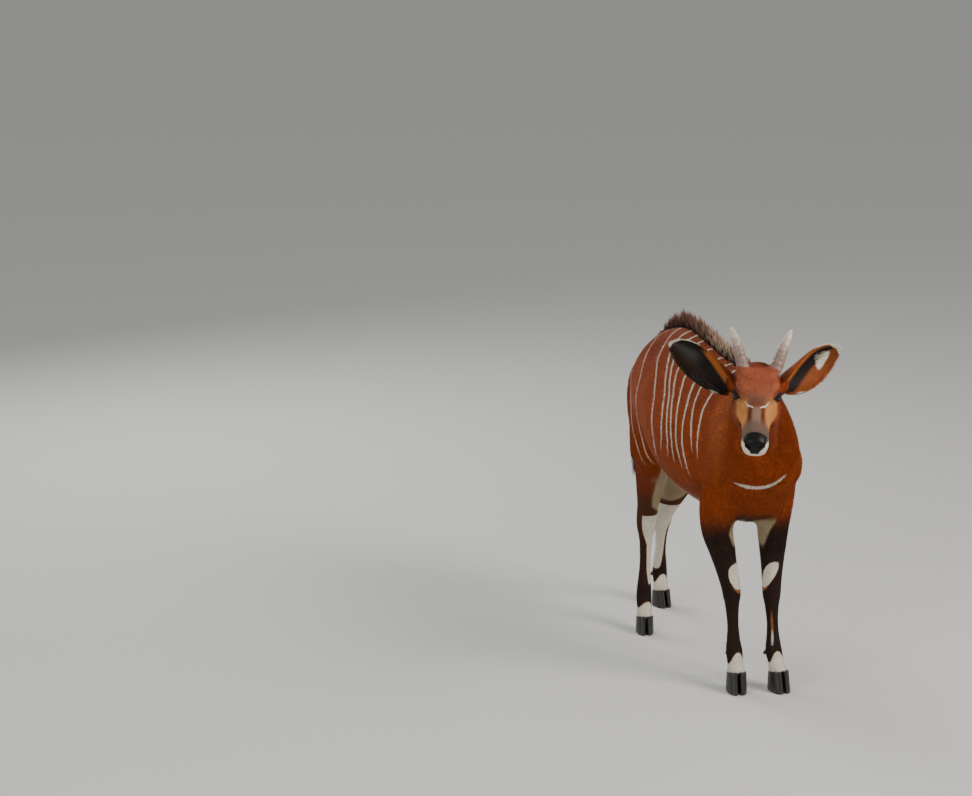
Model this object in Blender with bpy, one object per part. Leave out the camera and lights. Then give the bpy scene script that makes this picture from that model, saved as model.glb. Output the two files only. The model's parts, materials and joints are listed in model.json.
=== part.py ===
"""Young bongo antelope standing still, its head turned to its right."""
import math
import random

import bmesh
import bpy
import numpy as np
from mathutils import Matrix, Vector
from mathutils.bvhtree import BVHTree

# Sizes in metres. The animal faces -Y, its left side is +X, the ground is at height 0.
GAP = 0.0003
VOXEL = 0.0045
# Triangles of the face, the legs and the rest of the body
FACE_TRIANGLES = 3120
LEG_TRIANGLES = 1450
TRUNK_TRIANGLES = 1900

# Trunk rings: place along the body, sideways shift, back height, belly height,
# height of the widest place, half width
TRUNK = (
    (-0.470, -0.022, 0.800, 0.690, 0.745, 0.050),
    (-0.445, -0.018, 0.862, 0.622, 0.735, 0.098),
    (-0.400, -0.012, 0.918, 0.562, 0.730, 0.122),
    (-0.330, -0.006, 0.963, 0.524, 0.730, 0.136),
    (-0.240, 0.000, 0.984, 0.510, 0.738, 0.150),
    (-0.130, 0.000, 0.997, 0.512, 0.748, 0.170),
    (-0.010, 0.000, 1.022, 0.524, 0.765, 0.184),
    (0.090, 0.000, 1.041, 0.545, 0.785, 0.180),
    (0.180, 0.000, 1.038, 0.580, 0.810, 0.162),
    (0.270, 0.000, 1.012, 0.632, 0.825, 0.138),
    (0.350, 0.000, 0.968, 0.690, 0.830, 0.108),
    (0.420, 0.000, 0.908, 0.745, 0.832, 0.072),
    (0.458, 0.000, 0.862, 0.790, 0.828, 0.035),
)

# Neck rings: centre, half width, height above the centre, depth below it
NECK = (
    (0.000, -0.230, 0.800, 0.075, 0.150, 0.150),
    (-0.012, -0.320, 0.835, 0.080, 0.132, 0.150),
    (-0.042, -0.400, 0.883, 0.072, 0.108, 0.132),
    (-0.080, -0.475, 0.938, 0.061, 0.087, 0.106),
    (-0.112, -0.535, 0.985, 0.054, 0.072, 0.086),
    (-0.137, -0.585, 1.020, 0.050, 0.058, 0.072),
    (-0.152, -0.615, 1.035, 0.045, 0.045, 0.060),
)

# Head place and turn: point between the eyes, turn to the right, nod and roll in degrees
HEAD_PLACE = (-0.179, -0.660, 0.998)
HEAD_TURN = -28.6
HEAD_NOD = 28.0
HEAD_ROLL = 1.5

# Head rings in the head's own frame: place from the eyes back, top, bottom, widest, half width
HEAD = (
    (-0.202, -0.005, -0.040, -0.021, 0.022),
    (-0.193, 0.006, -0.056, -0.022, 0.0335),
    (-0.170, 0.013, -0.066, -0.025, 0.0395),
    (-0.130, 0.020, -0.067, -0.024, 0.0385),
    (-0.090, 0.027, -0.068, -0.020, 0.0412),
    (-0.050, 0.035, -0.075, -0.016, 0.0520),
    (-0.015, 0.043, -0.085, -0.008, 0.0600),
    (0.020, 0.050, -0.094, -0.004, 0.0640),
    (0.055, 0.051, -0.099, -0.006, 0.0630),
    (0.085, 0.046, -0.092, -0.010, 0.0590),
    (0.112, 0.034, -0.074, -0.014, 0.0500),
    (0.130, 0.012, -0.048, -0.016, 0.0330),
)

EYE_PLACE = (0.0490, 0.001, 0.004)
EYE_RADIUS = 0.0185
EYE_LOOK = (0.84, -0.50, 0.16)
LID_DEPTH = 0.0026

HORN_ROOT = (0.0455, 0.064, 0.044)
HORN_TIP = (0.0855, 0.165, 0.111)
HORN_RADIUS = 0.0182
HORN_SHIFT = 0.0030

EAR_ROOTS = {-1.0: (-0.066, 0.082, -0.034), 1.0: (0.066, 0.082, -0.022)}
EAR_LENGTHS = {-1.0: 0.222, 1.0: 0.205}
# How far each ear sags across its length
EAR_SAGS = {-1.0: -0.009, 1.0: 0.014}
# Where each ear points and where its cup opens, in the head's frame
EAR_LINES = {
    -1.0: ((-0.850, 0.215, 0.455), (-0.220, -0.965, 0.130)),
    1.0: ((0.815, 0.500, 0.270), (0.440, -0.860, 0.200)),
}
EAR_THICKNESS = 0.0036
EAR_GAP = 0.0006
# Ear rings: share of the length, half width, half angle of the rolled section
EAR = (
    (0.00, 0.0260, 2.25),
    (0.12, 0.0365, 1.97),
    (0.26, 0.0450, 1.64),
    (0.40, 0.0515, 1.34),
    (0.55, 0.0545, 1.08),
    (0.70, 0.0500, 0.90),
    (0.82, 0.0385, 0.75),
    (0.92, 0.0235, 0.60),
    (1.00, 0.0045, 0.40),
)

# Leg joints from the top down: shoulder or hip, elbow or stifle, knee or hock, fetlock, coronet
LEG_JOINTS = {
    "front_right": ((-0.085, -0.330, 0.800), (-0.119, -0.303, 0.530), (-0.066, -0.315, 0.312),
                    (-0.060, -0.331, 0.124), (-0.062, -0.353, 0.050)),
    "front_left": ((0.074, -0.330, 0.800), (0.068, -0.319, 0.530), (0.054, -0.346, 0.307),
                   (0.058, -0.364, 0.122), (0.063, -0.389, 0.050)),
    "hind_right": ((-0.066, 0.305, 0.855), (-0.090, 0.205, 0.615), (-0.056, 0.320, 0.372),
                   (-0.067, 0.308, 0.112), (-0.082, 0.268, 0.050)),
    "hind_left": ((0.066, 0.315, 0.850), (0.094, 0.285, 0.575), (0.064, 0.452, 0.340),
                  (0.102, 0.545, 0.112), (0.093, 0.513, 0.050)),
}

# Leg rings: place down the chain of joints, half width, reach to the front, reach to the back
FORELEG = (
    (0.00, 0.035, 0.070, 0.080),
    (0.45, 0.053, 0.085, 0.085),
    (0.80, 0.0550, 0.0720, 0.080),
    (1.10, 0.0475, 0.0565, 0.063),
    (1.40, 0.0405, 0.0445, 0.0485),
    (1.70, 0.0335, 0.0360, 0.037),
    (1.93, 0.0302, 0.0325, 0.031),
    (2.08, 0.0285, 0.0300, 0.030),
    (2.25, 0.0226, 0.0220, 0.0265),
    (2.55, 0.0183, 0.0185, 0.0235),
    (2.80, 0.0212, 0.0210, 0.0275),
    (3.00, 0.0266, 0.0260, 0.0295),
    (3.45, 0.0258, 0.0240, 0.026),
    (3.85, 0.0286, 0.0285, 0.028),
    (4.30, 0.0295, 0.0300, 0.0285),
)
HINDLEG = (
    (0.00, 0.040, 0.090, 0.090),
    (0.40, 0.048, 0.100, 0.125),
    (0.80, 0.0520, 0.085, 0.135),
    (1.00, 0.0520, 0.070, 0.115),
    (1.25, 0.0490, 0.057, 0.083),
    (1.50, 0.0430, 0.046, 0.058),
    (1.78, 0.0355, 0.036, 0.042),
    (1.97, 0.0335, 0.033, 0.042),
    (2.10, 0.0320, 0.030, 0.039),
    (2.30, 0.0212, 0.0225, 0.029),
    (2.60, 0.0186, 0.0185, 0.0245),
    (2.85, 0.0238, 0.0225, 0.028),
    (3.00, 0.0262, 0.0260, 0.0295),
    (3.45, 0.0258, 0.0240, 0.0255),
    (3.85, 0.0276, 0.0278, 0.0275),
    (4.30, 0.0282, 0.0288, 0.0275),
)

# Swellings of the body: centre, half sizes, tilt about the side axis in degrees
SWELLINGS = (
    ((0.086, -0.270, 0.745), (0.050, 0.105, 0.165), -14.0),
    ((0.076, -0.380, 0.715), (0.044, 0.060, 0.075), 0.0),
    ((0.062, 0.335, 0.735), (0.048, 0.092, 0.165), -17.0),
    ((0.052, 0.230, 0.905), (0.062, 0.110, 0.070), 12.0),
)

# Foot sizes: half width of the pair of claws, toe length, heel length, height of the cut above
CLAW_SIZES = {
    "front": (0.0310, 0.0450, 0.0300),
    "hind": (0.0290, 0.0435, 0.0290),
}
CLAW_SPACE = 0.0012
CORONET_HEIGHTS = {"front": 0.0625, "hind": 0.0565}
CORONET_SLOPE = 0.20
FOOT_TURN = {"front_right": -12.0, "front_left": 2.0, "hind_right": -14.0, "hind_left": 6.0}

TAIL = (
    (0.000, 0.395, 0.880, 0.022, 0.020, 0.020),
    (0.000, 0.455, 0.888, 0.021, 0.017, 0.020),
    (-0.002, 0.487, 0.862, 0.018, 0.015, 0.016),
    (-0.004, 0.501, 0.800, 0.0145, 0.012, 0.012),
    (-0.007, 0.506, 0.720, 0.0115, 0.010, 0.010),
    (-0.006, 0.505, 0.640, 0.0095, 0.009, 0.009),
    (-0.004, 0.502, 0.575, 0.0080, 0.008, 0.008),
)
TAIL_TUFT_END = 0.455

CREST_FROM = -0.50
CREST_TO = 0.36
CREST_STEP = 0.0190
CREST_HEIGHT = 0.072


def curve_through(rows, steps):
    """Rows of numbers on smooth curves through the given rows."""
    rows = np.array(rows, dtype=float)
    first = 2.0 * rows[0] - rows[1]
    last = 2.0 * rows[-1] - rows[-2]
    ends = np.vstack((first, rows, last))
    result = []
    for index in range(len(rows) - 1):
        before, here, ahead, beyond = ends[index:index + 4]
        for step in range(steps):
            t = step / steps
            line = 2.0 * here + (ahead - before) * t
            bend = (2.0 * before - 5.0 * here + 4.0 * ahead - beyond) * t * t
            twist = (3.0 * here - before - 3.0 * ahead + beyond) * t ** 3
            result.append(0.5 * (line + bend + twist))
    result.append(rows[-1])
    return np.array(result)


def add_object(name, mesh):
    """A scene object made from a bmesh, with its faces turned outward."""
    bmesh.ops.recalc_face_normals(mesh, faces=mesh.faces)
    data = bpy.data.meshes.new(name)
    mesh.to_mesh(data)
    mesh.free()
    body = bpy.data.objects.new(name, data)
    bpy.context.scene.collection.objects.link(body)
    return body


def skin_rings(mesh, rings):
    """Walls between rings of points and a lid on each end."""
    for lower, upper in zip(rings, rings[1:]):
        count = len(lower)
        for index in range(count):
            after = (index + 1) % count
            mesh.faces.new((lower[index], lower[after], upper[after], upper[index]))
    mesh.faces.new(rings[0])
    mesh.faces.new(rings[-1])


def tube(name, rows, up_hint, steps=3, sides=28, ring_normal=None, top_power=1.0, low_power=1.0):
    """A closed tube. Each row gives a centre, half width, reach above and reach below."""
    path = curve_through(rows, steps)
    mesh = bmesh.new()
    rings = []
    for index, row in enumerate(path):
        ahead = Vector(path[min(index + 1, len(path) - 1)][:3])
        behind = Vector(path[max(index - 1, 0)][:3])
        along = Vector(ring_normal) if ring_normal else (ahead - behind).normalized()
        side = Vector(up_hint).cross(along).normalized()
        above = along.cross(side)
        ring = []
        for number in range(sides):
            angle = 2.0 * math.pi * number / sides
            rise = math.sin(angle)
            reach = row[4] * rise ** top_power if rise > 0.0 else row[5] * rise
            width = math.cos(angle)
            if rise < 0.0:
                width = math.copysign(abs(width) ** low_power, width)
            place = Vector(row[:3]) + side * row[3] * width + above * reach
            ring.append(mesh.verts.new(place))
        rings.append(ring)
    skin_rings(mesh, rings)
    return add_object(name, mesh)


def swelling(name, centre, sizes, tilt):
    """A smooth rounded mass."""
    mesh = bmesh.new()
    turn = Matrix.Rotation(math.radians(tilt), 4, "X")
    shape = Matrix.Translation(centre) @ turn @ Matrix.Diagonal((*sizes, 1.0))
    bmesh.ops.create_icosphere(mesh, subdivisions=4, radius=1.0, matrix=shape)
    return add_object(name, mesh)


def settle(body):
    """Applies every modifier of an object."""
    graph = bpy.context.evaluated_depsgraph_get()
    fresh = bpy.data.meshes.new_from_object(body.evaluated_get(graph))
    body.modifiers.clear()
    old = body.data
    body.data = fresh
    bpy.data.meshes.remove(old)


def combine(body, other, way, solver="EXACT"):
    """Joins to a body, or cuts from it, another object, which is then removed."""
    change = body.modifiers.new("combine", "BOOLEAN")
    change.operation = way
    change.solver = solver
    change.object = other
    settle(body)
    bpy.data.objects.remove(other, do_unlink=True)


def merge(name, pieces):
    """One object that holds the surfaces of several."""
    mesh = bmesh.new()
    for piece in pieces:
        mesh.from_mesh(piece.data)
        bpy.data.objects.remove(piece, do_unlink=True)
    data = bpy.data.meshes.new(name)
    mesh.to_mesh(data)
    mesh.free()
    body = bpy.data.objects.new(name, data)
    bpy.context.scene.collection.objects.link(body)
    return body


def twin(body, name):
    """A separate copy of an object."""
    other = bpy.data.objects.new(name, body.data.copy())
    bpy.context.scene.collection.objects.link(other)
    return other


def largest_surface(body):
    """Keeps the largest closed surface of an object."""
    mesh = bmesh.new()
    mesh.from_mesh(body.data)
    left = set(mesh.faces)
    best = []
    while left:
        start = left.pop()
        group = [start]
        queue = [start]
        while queue:
            face = queue.pop()
            for edge in face.edges:
                for near in edge.link_faces:
                    if near in left:
                        left.remove(near)
                        group.append(near)
                        queue.append(near)
        if len(group) > len(best):
            best = group
    keep = set(best)
    drop = [face for face in mesh.faces if face not in keep]
    bmesh.ops.delete(mesh, geom=drop, context="FACES")
    mesh.to_mesh(body.data)
    mesh.free()


def smoothstep(value, low, high):
    """Smooth share from 0 at the low value to 1 at the high one."""
    share = np.clip((value - low) / (high - low), 0.0, 1.0)
    return share * share * (3.0 - 2.0 * share)


def read_points(mesh):
    """Point places of a mesh as rows."""
    flat = np.empty(len(mesh.vertices) * 3)
    mesh.vertices.foreach_get("co", flat)
    return flat.reshape(-1, 3)


def read_normals(mesh):
    """Point normals of a mesh as rows."""
    flat = np.empty(len(mesh.vertices) * 3)
    mesh.vertex_normals.foreach_get("vector", flat)
    return flat.reshape(-1, 3)


def write_points(mesh, points):
    """Puts the points of a mesh at new places."""
    mesh.vertices.foreach_set("co", points.ravel())
    mesh.update()


def fill_hollows(body, rounds, strength, ease):
    """Smooths a surface, mostly where that moves it outward, so that joins get soft."""
    mesh = body.data
    pairs = np.empty(len(mesh.edges) * 2, dtype=int)
    mesh.edges.foreach_get("vertices", pairs)
    one, two = pairs.reshape(-1, 2).T
    total = len(mesh.vertices)
    degree = np.bincount(one, minlength=total) + np.bincount(two, minlength=total)
    for _ in range(rounds):
        points = read_points(mesh)
        normals = read_normals(mesh)
        middle = np.empty_like(points)
        for axis in range(3):
            sums = np.bincount(one, weights=points[two, axis], minlength=total)
            sums += np.bincount(two, weights=points[one, axis], minlength=total)
            middle[:, axis] = sums / degree
        shift = middle - points
        outward = np.sum(shift * normals, axis=1)
        share = np.where(outward > 0.0, strength, ease)
        write_points(mesh, points + shift * share[:, None])


def head_matrix():
    """Matrix from the head's own frame to the animal's."""
    turn = Matrix.Rotation(math.radians(HEAD_TURN), 4, "Z")
    nod = Matrix.Rotation(math.radians(HEAD_NOD), 4, "X")
    roll = Matrix.Rotation(math.radians(HEAD_ROLL), 4, "Y")
    return Matrix.Translation(HEAD_PLACE) @ turn @ nod @ roll


def side_rows(rows):
    """Head or trunk rows turned into tube rows."""
    return [(0.0, y, wide, half, top - wide, wide - low) for y, top, low, wide, half in rows]


def head_pieces():
    """Masses of the head in the animal's frame."""
    skull = tube("skull", side_rows(HEAD), (0, 0, 1), 3, 36, (0, -1, 0), 1.0, 0.62)
    pieces = [skull]
    for side in (-1.0, 1.0):
        pieces.append(swelling("brow", (side * 0.044, 0.008, 0.034), (0.020, 0.030, 0.014), 0.0))
        pieces.append(swelling("cheek", (side * 0.045, 0.010, -0.056), (0.024, 0.064, 0.036), 12.0))
        pieces.append(swelling("ear_base", (side * 0.063, 0.080, -0.025), (0.027, 0.028, 0.034), 0.0))
        pieces.append(swelling("horn_base", (side * 0.044, 0.062, 0.044), (0.022, 0.024, 0.018), 0.0))
    for piece in pieces:
        piece.data.transform(head_matrix())
    return pieces


def leg_rows(joints, girths):
    """Tube rows for a leg from its joints and its girths."""
    rows = []
    for place, half, front, back in girths:
        index = min(int(place), len(joints) - 2)
        start = np.array(joints[index])
        end = np.array(joints[index + 1])
        centre = start + (end - start) * (place - index)
        rows.append((*centre, half, front, back))
    return rows


def make_flesh():
    """Trunk, neck, head and legs fused into one soft body."""
    rows = [(x, y, wide, half, top - wide, wide - low) for y, x, top, low, wide, half in TRUNK]
    pieces = [tube("trunk", rows, (0, 0, 1), 4, 40, (0, -1, 0), 1.12)]
    pieces.append(tube("neck", NECK, (0, 0.35, 1), 4, 32))
    pieces.extend(head_pieces())
    for name, joints in LEG_JOINTS.items():
        girths = FORELEG if name.startswith("front") else HINDLEG
        pieces.append(tube("leg", leg_rows(joints, girths), (0, -1, 0.001), 4, 24))
    for centre, sizes, tilt in SWELLINGS:
        for side in (-1.0, 1.0):
            place = (side * centre[0], centre[1], centre[2])
            pieces.append(swelling("muscle", place, sizes, tilt))
    for name in ("hind_right", "hind_left"):
        hock = Vector(LEG_JOINTS[name][2])
        pieces.append(swelling("heel", hock + Vector((0.0, 0.024, 0.014)), (0.012, 0.013, 0.024), -30.0))
    flesh = merge("flesh", pieces)
    remesh = flesh.modifiers.new("fuse", "REMESH")
    remesh.mode = "VOXEL"
    remesh.voxel_size = VOXEL
    settle(flesh)
    fill_hollows(flesh, 60, 0.8, 0.05)
    return flesh


def eye_frame(side):
    """Centre of an eye and its outward, forward and upward directions, in the head's frame."""
    centre = np.array((side * EYE_PLACE[0], EYE_PLACE[1], EYE_PLACE[2]))
    out = np.array((side * EYE_LOOK[0], EYE_LOOK[1], EYE_LOOK[2]))
    out /= np.linalg.norm(out)
    up = np.array((0.0, 0.10, 1.0))
    up -= out * np.dot(up, out)
    up /= np.linalg.norm(up)
    ahead = np.cross(up, out) * -side
    return centre, out, ahead, up


def shape_eyes(points):
    """Draws the lids over the eyes and opens them, in the head's frame."""
    for side in (-1.0, 1.0):
        centre, out, ahead, up = eye_frame(side)
        offset = points - centre
        reach = np.linalg.norm(offset, axis=1)
        unit = offset / reach[:, None]
        facing = unit @ out
        along = unit @ ahead
        rise = unit @ up
        opening = 0.52 * (1.0 - (along / 0.80) ** 2) + 0.04
        middle = -0.05 + 0.10 * along
        edge = np.abs(rise - middle) - opening
        lid = EYE_RADIUS + LID_DEPTH
        cover = 1.0 - smoothstep(edge, 0.10, 0.60)
        cover *= smoothstep(facing, -0.1, 0.35)
        wanted = reach + (lid - reach) * cover
        inside = smoothstep(-edge, -0.06, 0.10) * (facing > 0.2)
        wanted = wanted + (EYE_RADIUS - 0.004 - wanted) * inside
        near = reach < 0.050
        points[near] = (centre + unit * wanted[:, None])[near]
    return points


def shape_muzzle(points, normals):
    """Presses in the nostrils, the mouth line and the groove of the nose, in the head's frame."""
    x, y, z = points.T
    sink = np.zeros(len(points))
    for side in (-1.0, 1.0):
        across = side * x - 0.0185
        height = z + 0.0165
        long_way = across * 0.80 + height * 0.60
        short_way = -across * 0.60 + height * 0.80
        pit = (long_way / 0.0105) ** 2 + (short_way / 0.0048) ** 2
        sink += 0.0075 * np.exp(-pit) * smoothstep(-y, 0.165, 0.178)
    line = -0.0455 + 0.08 * np.clip(y + 0.190, 0.0, 1.0)
    groove = np.exp(-((z - line) / 0.0026) ** 2)
    length = smoothstep(-y, 0.085, 0.110)
    sink += 0.0030 * groove * length
    middle = np.exp(-(x / 0.0022) ** 2) * smoothstep(-y, 0.185, 0.195)
    sink += 0.0018 * middle * smoothstep(-z, 0.012, 0.020) * smoothstep(z, -0.047, -0.040)
    return points - normals * sink[:, None]


def fine_place(place):
    """Whether a place in the head's frame is near an eye or on the muzzle."""
    for side in (-1.0, 1.0):
        if (place - Vector(eye_frame(side)[0])).length < 0.030:
            return True
    return place.y < -0.165 or (place.y < -0.08 and abs(place.z + 0.041) < 0.012)


def shape_face(flesh):
    """Refines the head's surface and gives it its eyes, nostrils and mouth."""
    inverse = np.array(head_matrix().inverted())
    matrix = np.array(head_matrix())
    mesh = bmesh.new()
    mesh.from_mesh(flesh.data)
    home = head_matrix().inverted()
    chosen = set()
    for vert in mesh.verts:
        if (home @ vert.co).y < 0.045 and (vert.co - Vector(HEAD_PLACE)).length < 0.26:
            chosen.add(vert)
    edges = [edge for edge in mesh.edges if edge.verts[0] in chosen and edge.verts[1] in chosen]
    bmesh.ops.subdivide_edges(mesh, edges=edges, cuts=1, use_grid_fill=True)
    fine = []
    for edge in mesh.edges:
        place = home @ ((edge.verts[0].co + edge.verts[1].co) / 2.0)
        if fine_place(place):
            fine.append(edge)
    bmesh.ops.subdivide_edges(mesh, edges=fine, cuts=1, use_grid_fill=True)
    bmesh.ops.triangulate(mesh, faces=mesh.faces)
    mesh.to_mesh(flesh.data)
    mesh.free()
    points = read_points(flesh.data)
    normals = read_normals(flesh.data)
    own = points @ inverse[:3, :3].T + inverse[:3, 3]
    own_normals = normals @ inverse[:3, :3].T
    region = (own[:, 1] < 0.06) & (np.linalg.norm(own, axis=1) < 0.30)
    shaped = shape_muzzle(own[region], own_normals[region])
    shaped = shape_eyes(shaped)
    own[region] = shaped
    write_points(flesh.data, own @ matrix[:3, :3].T + matrix[:3, 3])


def thin_region(body, chosen, wanted):
    """Brings the chosen points' share of a surface down to a number of triangles."""
    mesh = body.data
    corners = np.empty(len(mesh.polygons) * 3, dtype=int)
    mesh.polygons.foreach_get("vertices", corners)
    inside = chosen[corners.reshape(-1, 3)].all(axis=1).sum()
    total = len(mesh.polygons)
    group = body.vertex_groups.new(name="thin")
    group.add(np.nonzero(chosen)[0].tolist(), 1.0, "REPLACE")
    thin = body.modifiers.new("thin", "DECIMATE")
    thin.ratio = (total - inside + wanted) / total
    thin.vertex_group = "thin"
    thin.use_collapse_triangulate = True
    settle(body)
    body.vertex_groups.clear()


def face_points(points):
    """Which points belong to the finely kept head."""
    inverse = np.array(head_matrix().inverted())
    own = points @ inverse[:3, :3].T + inverse[:3, 3]
    return (own[:, 1] < 0.11) & (np.linalg.norm(own, axis=1) < 0.30)


def thin_out(body):
    """Brings the face, legs and trunk down to their numbers of triangles."""
    face = face_points(read_points(body.data))
    thin_region(body, face, FACE_TRIANGLES)
    points = read_points(body.data)
    low = (points[:, 2] < 0.56) & ~face_points(points)
    thin_region(body, low, LEG_TRIANGLES)
    points = read_points(body.data)
    rest = (points[:, 2] >= 0.56) & ~face_points(points)
    thin_region(body, rest, TRUNK_TRIANGLES)


def lock_of_hair(name, root, grow, across, length, width, depth, bend):
    """A flat tapered lock with four sides. It starts at the root and bends towards a direction."""
    mesh = bmesh.new()
    rings = []
    for share, taper in ((0.0, 0.75), (0.30, 1.0), (0.68, 0.62)):
        centre = root + grow * length * share + bend * length * share * share
        along = (grow + bend * 2.0 * share).normalized()
        wide = across * width * taper
        thick = along.cross(across).normalized() * depth * taper
        places = (centre + wide, centre + thick, centre - wide, centre - thick)
        rings.append([mesh.verts.new(place) for place in places])
    skin_rings(mesh, rings)
    lid = [face for face in mesh.faces if len(set(face.verts) & set(rings[-1])) == 4]
    tip = root + grow * length + bend * length
    result = bmesh.ops.poke(mesh, faces=lid)
    result["verts"][0].co = tip
    return add_object(name, mesh)


def union_all(body, pieces):
    """Joins many closed pieces to a body in one union and removes them."""
    group = bpy.data.collections.new("pieces")
    bpy.context.scene.collection.children.link(group)
    for piece in pieces:
        bpy.context.scene.collection.objects.unlink(piece)
        group.objects.link(piece)
    change = body.modifiers.new("join", "BOOLEAN")
    change.operation = "UNION"
    change.operand_type = "COLLECTION"
    change.solver = "EXACT"
    change.collection = group
    settle(body)
    for piece in pieces:
        bpy.data.objects.remove(piece, do_unlink=True)
    bpy.data.collections.remove(group)


def crest_locks(flesh):
    """Locks of the crest, rooted along the ridge of the neck and back."""
    chance = random.Random(7)
    tree = BVHTree.FromObject(flesh, bpy.context.evaluated_depsgraph_get())
    locks = []
    count = int((CREST_TO - CREST_FROM) / CREST_STEP)
    for index in range(count):
        y = CREST_FROM + CREST_STEP * index
        middle = -0.052 * smoothstep(-y, 0.33, 0.45) - 0.30 * max(-0.45 - y, 0.0)
        x = middle + 0.006 * (-1) ** index
        hit = tree.ray_cast(Vector((x, y, 1.4)), Vector((0, 0, -1)))[0]
        if hit is None:
            continue
        share = index / count
        height = CREST_HEIGHT * min(1.0, 0.30 + 2.0 * share) * min(1.0, 0.35 + 3.2 * (1.0 - share))
        root = hit - Vector((0, 0, 0.008))
        lean = chance.uniform(0.25, 0.45)
        grow = Vector((chance.uniform(-0.16, 0.16), lean, 1.0)).normalized()
        across = Vector((chance.uniform(-0.5, 0.5), 1.0, -lean)).normalized()
        bend = Vector((chance.uniform(-0.10, 0.10), chance.uniform(0.15, 0.35), -0.10))
        locks.append(lock_of_hair("crest_lock", root, grow, across, height + 0.012,
                                  0.0155, 0.0035, bend))
    return locks


def wedge(name, inner, outer, front, back, height, rise_out, rise_back, grow):
    """A block below a sloping plane, for cutting a leg from the trunk."""
    mesh = bmesh.new()
    sign = 1.0 if outer > inner else -1.0
    sides = (inner - sign * grow, outer + sign * grow)
    ends = (front - grow, back + grow)
    corners = {}
    for number, x in enumerate(sides):
        for place, y in enumerate(ends):
            top = height + rise_out * abs(x - inner) + rise_back * (y - front) + grow
            corners[number, place, 0] = mesh.verts.new((x, y, -0.05))
            corners[number, place, 1] = mesh.verts.new((x, y, top))
    order = ((0, 0), (1, 0), (1, 1), (0, 1))
    lower = [corners[a, b, 0] for a, b in order]
    upper = [corners[a, b, 1] for a, b in order]
    skin_rings(mesh, [lower, upper])
    return add_object(name, mesh)


def half_space(name, place, normal, grow, width=1.2):
    """A deep block on the side of a plane that the normal points to."""
    mesh = bmesh.new()
    direction = Vector(normal).normalized()
    turn = direction.to_track_quat("Z", "Y").to_matrix().to_4x4()
    centre = Vector(place) + direction * (0.40 - grow)
    wide = width + 2.0 * grow
    shape = Matrix.Translation(centre) @ turn @ Matrix.Diagonal((wide, wide, 0.8, 1.0))
    bmesh.ops.create_cube(mesh, size=1.0, matrix=shape)
    return add_object(name, mesh)


def split(body, name, cutter):
    """Cuts a body in two by a cutter that is made with any growth. Returns the part inside."""
    piece = twin(body, name)
    combine(piece, cutter(-GAP / 2.0), "INTERSECT")
    combine(body, cutter(GAP / 2.0), "DIFFERENCE")
    largest_surface(piece)
    largest_surface(body)
    return piece


def leg_cutter(name):
    """Makes cutters for one leg."""
    side = -1.0 if name.endswith("right") else 1.0
    if name.startswith("front"):
        sizes = (side * 0.028, side * 0.30, -0.44, -0.14, 0.500, 0.62, 0.0)
    else:
        sizes = (side * 0.012, side * 0.30, 0.08, 0.75, 0.530, 0.36, 0.40)
    return lambda grow: wedge("cutter", *sizes, grow)


def foot_frame(name):
    """Matrix of a foot: the middle of its coronet above the ground, turned to its toes."""
    x, y, _ = LEG_JOINTS[name][4]
    turn = Matrix.Rotation(math.radians(FOOT_TURN[name]), 4, "Z")
    return Matrix.Translation((x, y, 0.0)) @ turn


def coronet_plane(name):
    """A point and the upward normal of the plane between a leg and its claws."""
    frame = foot_frame(name)
    height = CORONET_HEIGHTS["front" if name.startswith("front") else "hind"]
    place = frame @ Vector((0.0, 0.0, height))
    normal = frame.to_3x3() @ Vector((0.0, CORONET_SLOPE, 1.0))
    return place, normal.normalized()


def claw(name, leg, side):
    """One claw of a foot, with a flat sole on the ground and its top on the coronet plane."""
    half, toe, heel = CLAW_SIZES["front" if leg.startswith("front") else "hind"]
    levels = ((0.0, 0.94, 0.97), (0.005, 1.0, 1.0), (0.035, 0.98, 0.82), (0.085, 0.93, 0.58))
    mesh = bmesh.new()
    rings = []
    for height, wide, long in levels:
        ring = []
        for number in range(14):
            angle = 2.0 * math.pi * number / 14
            c = math.cos(angle)
            s = math.sin(angle)
            inner = CLAW_SPACE + half * 0.22
            reach = (half - inner) * wide if c > 0.0 else half * 0.22
            across = inner + reach * math.copysign(abs(c) ** 0.8, c)
            forward = toe * long * abs(s) ** 1.1 if s > 0.0 else heel * s
            ring.append(mesh.verts.new((side * across, -forward, height)))
        rings.append(ring)
    skin_rings(mesh, rings)
    mesh.transform(foot_frame(leg))
    body = add_object(name, mesh)
    place, normal = coronet_plane(leg)
    combine(body, half_space("cutter", place, normal, GAP / 2.0), "DIFFERENCE")
    return body


def dewclaw(name, leg, side, grow):
    """A small claw behind the fetlock."""
    fetlock = Vector(LEG_JOINTS[leg][3])
    turn = Matrix.Rotation(math.radians(FOOT_TURN[leg]), 4, "Z")
    root = fetlock + turn @ Vector((side * 0.0125, 0.0175, -0.006))
    point = root + turn @ Vector((side * 0.0035, 0.014, -0.0145))
    mesh = bmesh.new()
    along = (point - root).normalized()
    across = along.cross(Vector((1, 0, 0))).normalized()
    other = along.cross(across)
    rings = []
    for share, radius in ((0.0, 0.0078), (0.6, 0.0072), (0.9, 0.0045), (1.0, 0.0020)):
        centre = root + (point - root) * share
        if share == 1.0:
            centre = centre + along * grow
        if share == 0.0:
            centre = centre - along * grow
        ring = []
        for number in range(8):
            angle = 2.0 * math.pi * number / 8
            spoke = across * math.cos(angle) + other * math.sin(angle)
            ring.append(mesh.verts.new(centre + spoke * (radius + grow)))
        rings.append(ring)
    skin_rings(mesh, rings)
    return add_object(name, mesh)


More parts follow.
